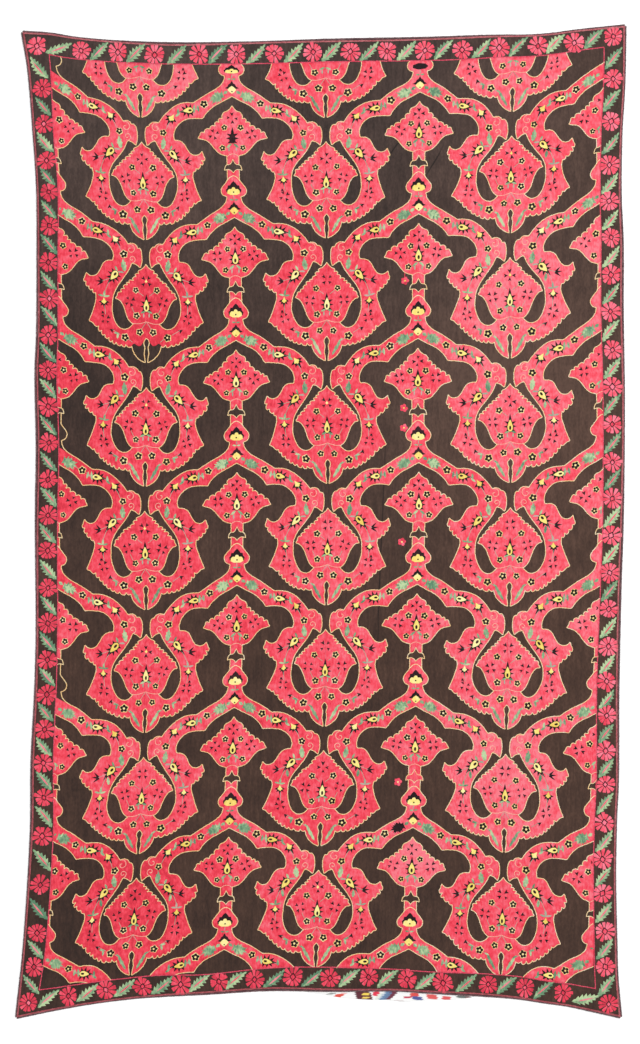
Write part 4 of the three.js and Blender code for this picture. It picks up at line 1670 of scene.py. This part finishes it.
# how far the lining reaches past its table of sag to come out from under the braid
UNDER_BRAID = 4


def lining_plan():
    """Plan points of the lining: fine along the strip that shows, coarse elsewhere."""
    x_lines = np.concatenate([np.linspace(-HALF_WIDTH, COARSE_FROM[0], 12), np.arange(*FINE_STRIP, FINE_STEP),
                              np.linspace(COARSE_FROM[1], HALF_WIDTH, 8)])
    up_lines = np.concatenate([np.linspace(-1, SAG_FROM, SAG_ROWS), np.linspace(SAG_FROM + 0.02, 1, 16)])
    across, up = np.meshgrid(x_lines / HALF_WIDTH, up_lines)
    plan_points = face_point(across, up)
    plan_points[..., 0] += LINING_REACH * across
    plan_points[..., 1] += LINING_REACH * up
    sag = read_table(LINING_SAG, plan_points[..., 0])
    sag = np.where(sag > 0.01, sag + UNDER_BRAID, 0)
    near_foot = np.clip((SAG_FROM - up) / (1 + SAG_FROM), 0, 1)
    plan_points[..., 1] -= sag * near_foot
    return plan_points


# %% Its print
LINING_WHITE = (252, 252, 251)
# how far a blot's sides feather, over what length, and how unevenly
FEATHER = 1.6
FEATHER_LENGTH = 0.8
FEATHER_BLUR = 0.6
# how full a blot is, and how sharp its edge
INK_FULL = 1.15
INK_SHARP = 3.5


def lining_print(points):
    """The printed colour at each point."""
    random = np.random.default_rng(23)
    depth = read_table(FOOT_EDGE, points[:, 0]) - BRAID_REACH - points[:, 1]
    feathered = points[:, 0] + FEATHER * np.sin(points[:, 1] / FEATHER_LENGTH)
    x = feathered + random.normal(0, FEATHER_BLUR, len(points))
    colour = np.tile(np.array(dye(*LINING_WHITE)[:3]), (len(points), 1))
    for middle, middle_depth, half_width, half_depth, slant, shade in PRINT:
        down = (depth - middle_depth) / half_depth
        over = (x - middle - slant * (depth - middle_depth)) / half_width
        inked = np.clip((INK_FULL - np.hypot(over**2, down**2)) * INK_SHARP, 0, 1)
        colour += (np.array(dye(*shade)[:3]) - colour) * inked[:, None]
    return np.column_stack([colour, np.ones(len(points))])


def lining_cotton():
    """Plain cotton that takes its colour from the printed points."""
    material, tree, shader = new_material("lining_cotton", roughness=0.85, sheen=0.08, lustre=0.2)
    tree.links.new(on_points(tree, "printed", "Color"), shader.inputs["Base Color"])
    roughen(tree, shader, woven(tree, object_place(tree), 0.8), strength=0.4, depth=0.2)
    return material


def level(height):
    """A height function that is the same everywhere."""
    return lambda x, y: np.full_like(x, height)


lining = make_mesh("lining", *grid_solid(lining_plan(), level(0.0), level(LINING_TOP)), lining_cotton())
lining_points = np.empty(len(lining.data.vertices) * 3, np.float32)
lining.data.vertices.foreach_get("co", lining_points)
printed = lining.data.attributes.new("printed", "FLOAT_COLOR", "POINT")
printed.data.foreach_set("color", lining_print(lining_points.reshape(-1, 3) / MM).astype(np.float32).ravel())
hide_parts("lining")

# %% The braid
# across it from its seam outwards, and up from the cloth's underside
BRAID_SECTION = np.array([(0.0, 0.0), (4.0, 0.0), (4.0, 1.0), (3.3, 1.5), (0.7, 1.5), (0.0, 1.0)])
BRAID_TOP = 1.5
BRAID_STATIONS = {"foot": 150, "head": 150, "right": 240, "left": 240}
# middle of each row of loops across the braid, and how deep the loops sit in it
BRAID_ROWS = (1.15, 3.15)
LOOPS_SINK = 0.35
# dark mulberry, with paler flecks where its strands cross
braid_silk = silk("braid_silk", [(64, 40, 45), (84, 53, 58), (126, 90, 93)], rib=2.2, rib_axis="DIAGONAL",
                  mottle=0.6, roughness=0.6)


def braid_core(edge, out):
    """Points and triangles of the braid's body along an edge, closed at both ends."""
    corners = len(BRAID_SECTION)
    plan_points = edge[:, None] + out[:, None] * (SEWN_GAP + BRAID_SECTION[:, 0])[None, :, None]
    z = bed(edge[:, 0], edge[:, 1])[:, None] - RIPPLE + BRAID_SECTION[None, :, 1]
    core = np.concatenate([plan_points, z[..., None]], axis=2).reshape(-1, 3)
    station = np.arange(len(edge) - 1)[:, None] * corners
    a = station + np.arange(corners)
    b = station + (np.arange(corners) + 1) % corners
    ahead = [np.stack([a, a + corners, b + corners], -1), np.stack([a, b + corners, b], -1)]
    caps = np.array([(0, i, i + 1) for i in range(1, corners - 1)])
    end = (len(edge) - 1) * corners
    return core, np.vstack([wall.reshape(-1, 3) for wall in ahead] + [caps, caps[:, ::-1] + end])


def sew_braid(side):
    """One side of the braid: its body, and two rows of loops for its plaited strands."""
    braid = Gatherer(f"edge_braid_{side}", braid_silk)
    edge = side_points(side, np.linspace(-1, 1, BRAID_STATIONS[side]))
    out = -directions(edge)[1]
    braid.add(*braid_core(edge, out))
    for row in BRAID_ROWS:
        chain_row(braid, edge + out * (SEWN_GAP + row), BRAID_STITCH, tone=0.3,
                  lift=BRAID_TOP - FACE_THICKNESS - LOOPS_SINK)
    piece = braid.make("edge_braid")
    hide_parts(f"braid_{side}")
    return piece


braid_pieces = [sew_braid(side) for side in SIDES]

# %% [markdown]
# ## Sheets
# The face and the lining are both cloth that lies as it was laid. Every stitched piece goes with the face.
# Here only the lining's area in plan is worked out.


def plan_area(plan_points):
    """The area in square metres of a grid of plan points."""
    return abs(area_inside(around(plan_points) * MM))


plan_area(lining_plan())

# %% [markdown]
# ## Light and camera
# Even light, a little stronger from the right, shows colour first and relief second. The camera hangs
# straight above the middle and looks down, so the cover fills an upright frame.

# %% Floor and lights, in metres and watts
FLOOR_HALF = 12
FLOOR_HEIGHT = -0.0005
FLOOR_WHITE = (0.93, 0.93, 0.93, 1)
SKY_WHITE = (1.0, 1.0, 1.0, 1.0)
SKY_STRENGTH = 0.95


def stand_in_studio(name, data):
    """Adds a thing of the studio, which is no part of the cover."""
    piece = bpy.data.objects.new(name, data)
    bpy.context.scene.collection.objects.link(piece)
    return piece


def floor():
    """A wide pale floor just under the cloth."""
    mesh = bpy.data.meshes.new("floor")
    corners = [(-1, -1), (1, -1), (1, 1), (-1, 1)]
    mesh.from_pydata([(FLOOR_HALF * x, FLOOR_HALF * y, FLOOR_HEIGHT) for x, y in corners], [], [(0, 1, 2, 3)])
    material, _, shader = new_material("floor_white", roughness=0.9, sheen=0.0, lustre=0.0)
    shader.inputs["Base Color"].default_value = FLOOR_WHITE
    mesh.materials.append(material)
    stand_in_studio("floor", mesh)


def area_light(name, place, size, watts):
    """A soft square light that faces the middle of the cloth."""
    lamp = bpy.data.lights.new(name, "AREA")
    lamp.size = size
    lamp.energy = watts
    piece = stand_in_studio(name, lamp)
    piece.location = place
    piece.rotation_euler = piece.location.normalized().to_track_quat("Z", "Y").to_euler()


def sky():
    """Even white light from all round."""
    world = bpy.data.worlds.new("studio") if scene.world is None else scene.world
    world.use_nodes = True
    background = world.node_tree.nodes["Background"]
    background.inputs["Color"].default_value = SKY_WHITE
    background.inputs["Strength"].default_value = SKY_STRENGTH
    scene.world = world


scene = bpy.context.scene
scene.view_settings.view_transform = "Standard"
floor()
sky()
area_light("key", (3.4, 1.6, 4.2), 3.0, 150)
area_light("fill", (-3.6, -1.0, 4.4), 3.5, 70)
print("lights:", len(bpy.data.lights), "and the sky")

# %% Camera
CAMERA_PLACE = (-0.002, -0.001, 6.0)
# what the camera frames, in metres from head to foot, on its film in millimetres
VIEW_LENGTH = 2.628
FILM = 36
lens = bpy.data.cameras.new("above")
lens.lens = FILM * CAMERA_PLACE[2] / VIEW_LENGTH
camera = bpy.data.objects.new("above", lens)
camera.location = CAMERA_PLACE
scene.collection.objects.link(camera)
scene.camera = camera
print("lens:", round(lens.lens, 1), "mm")
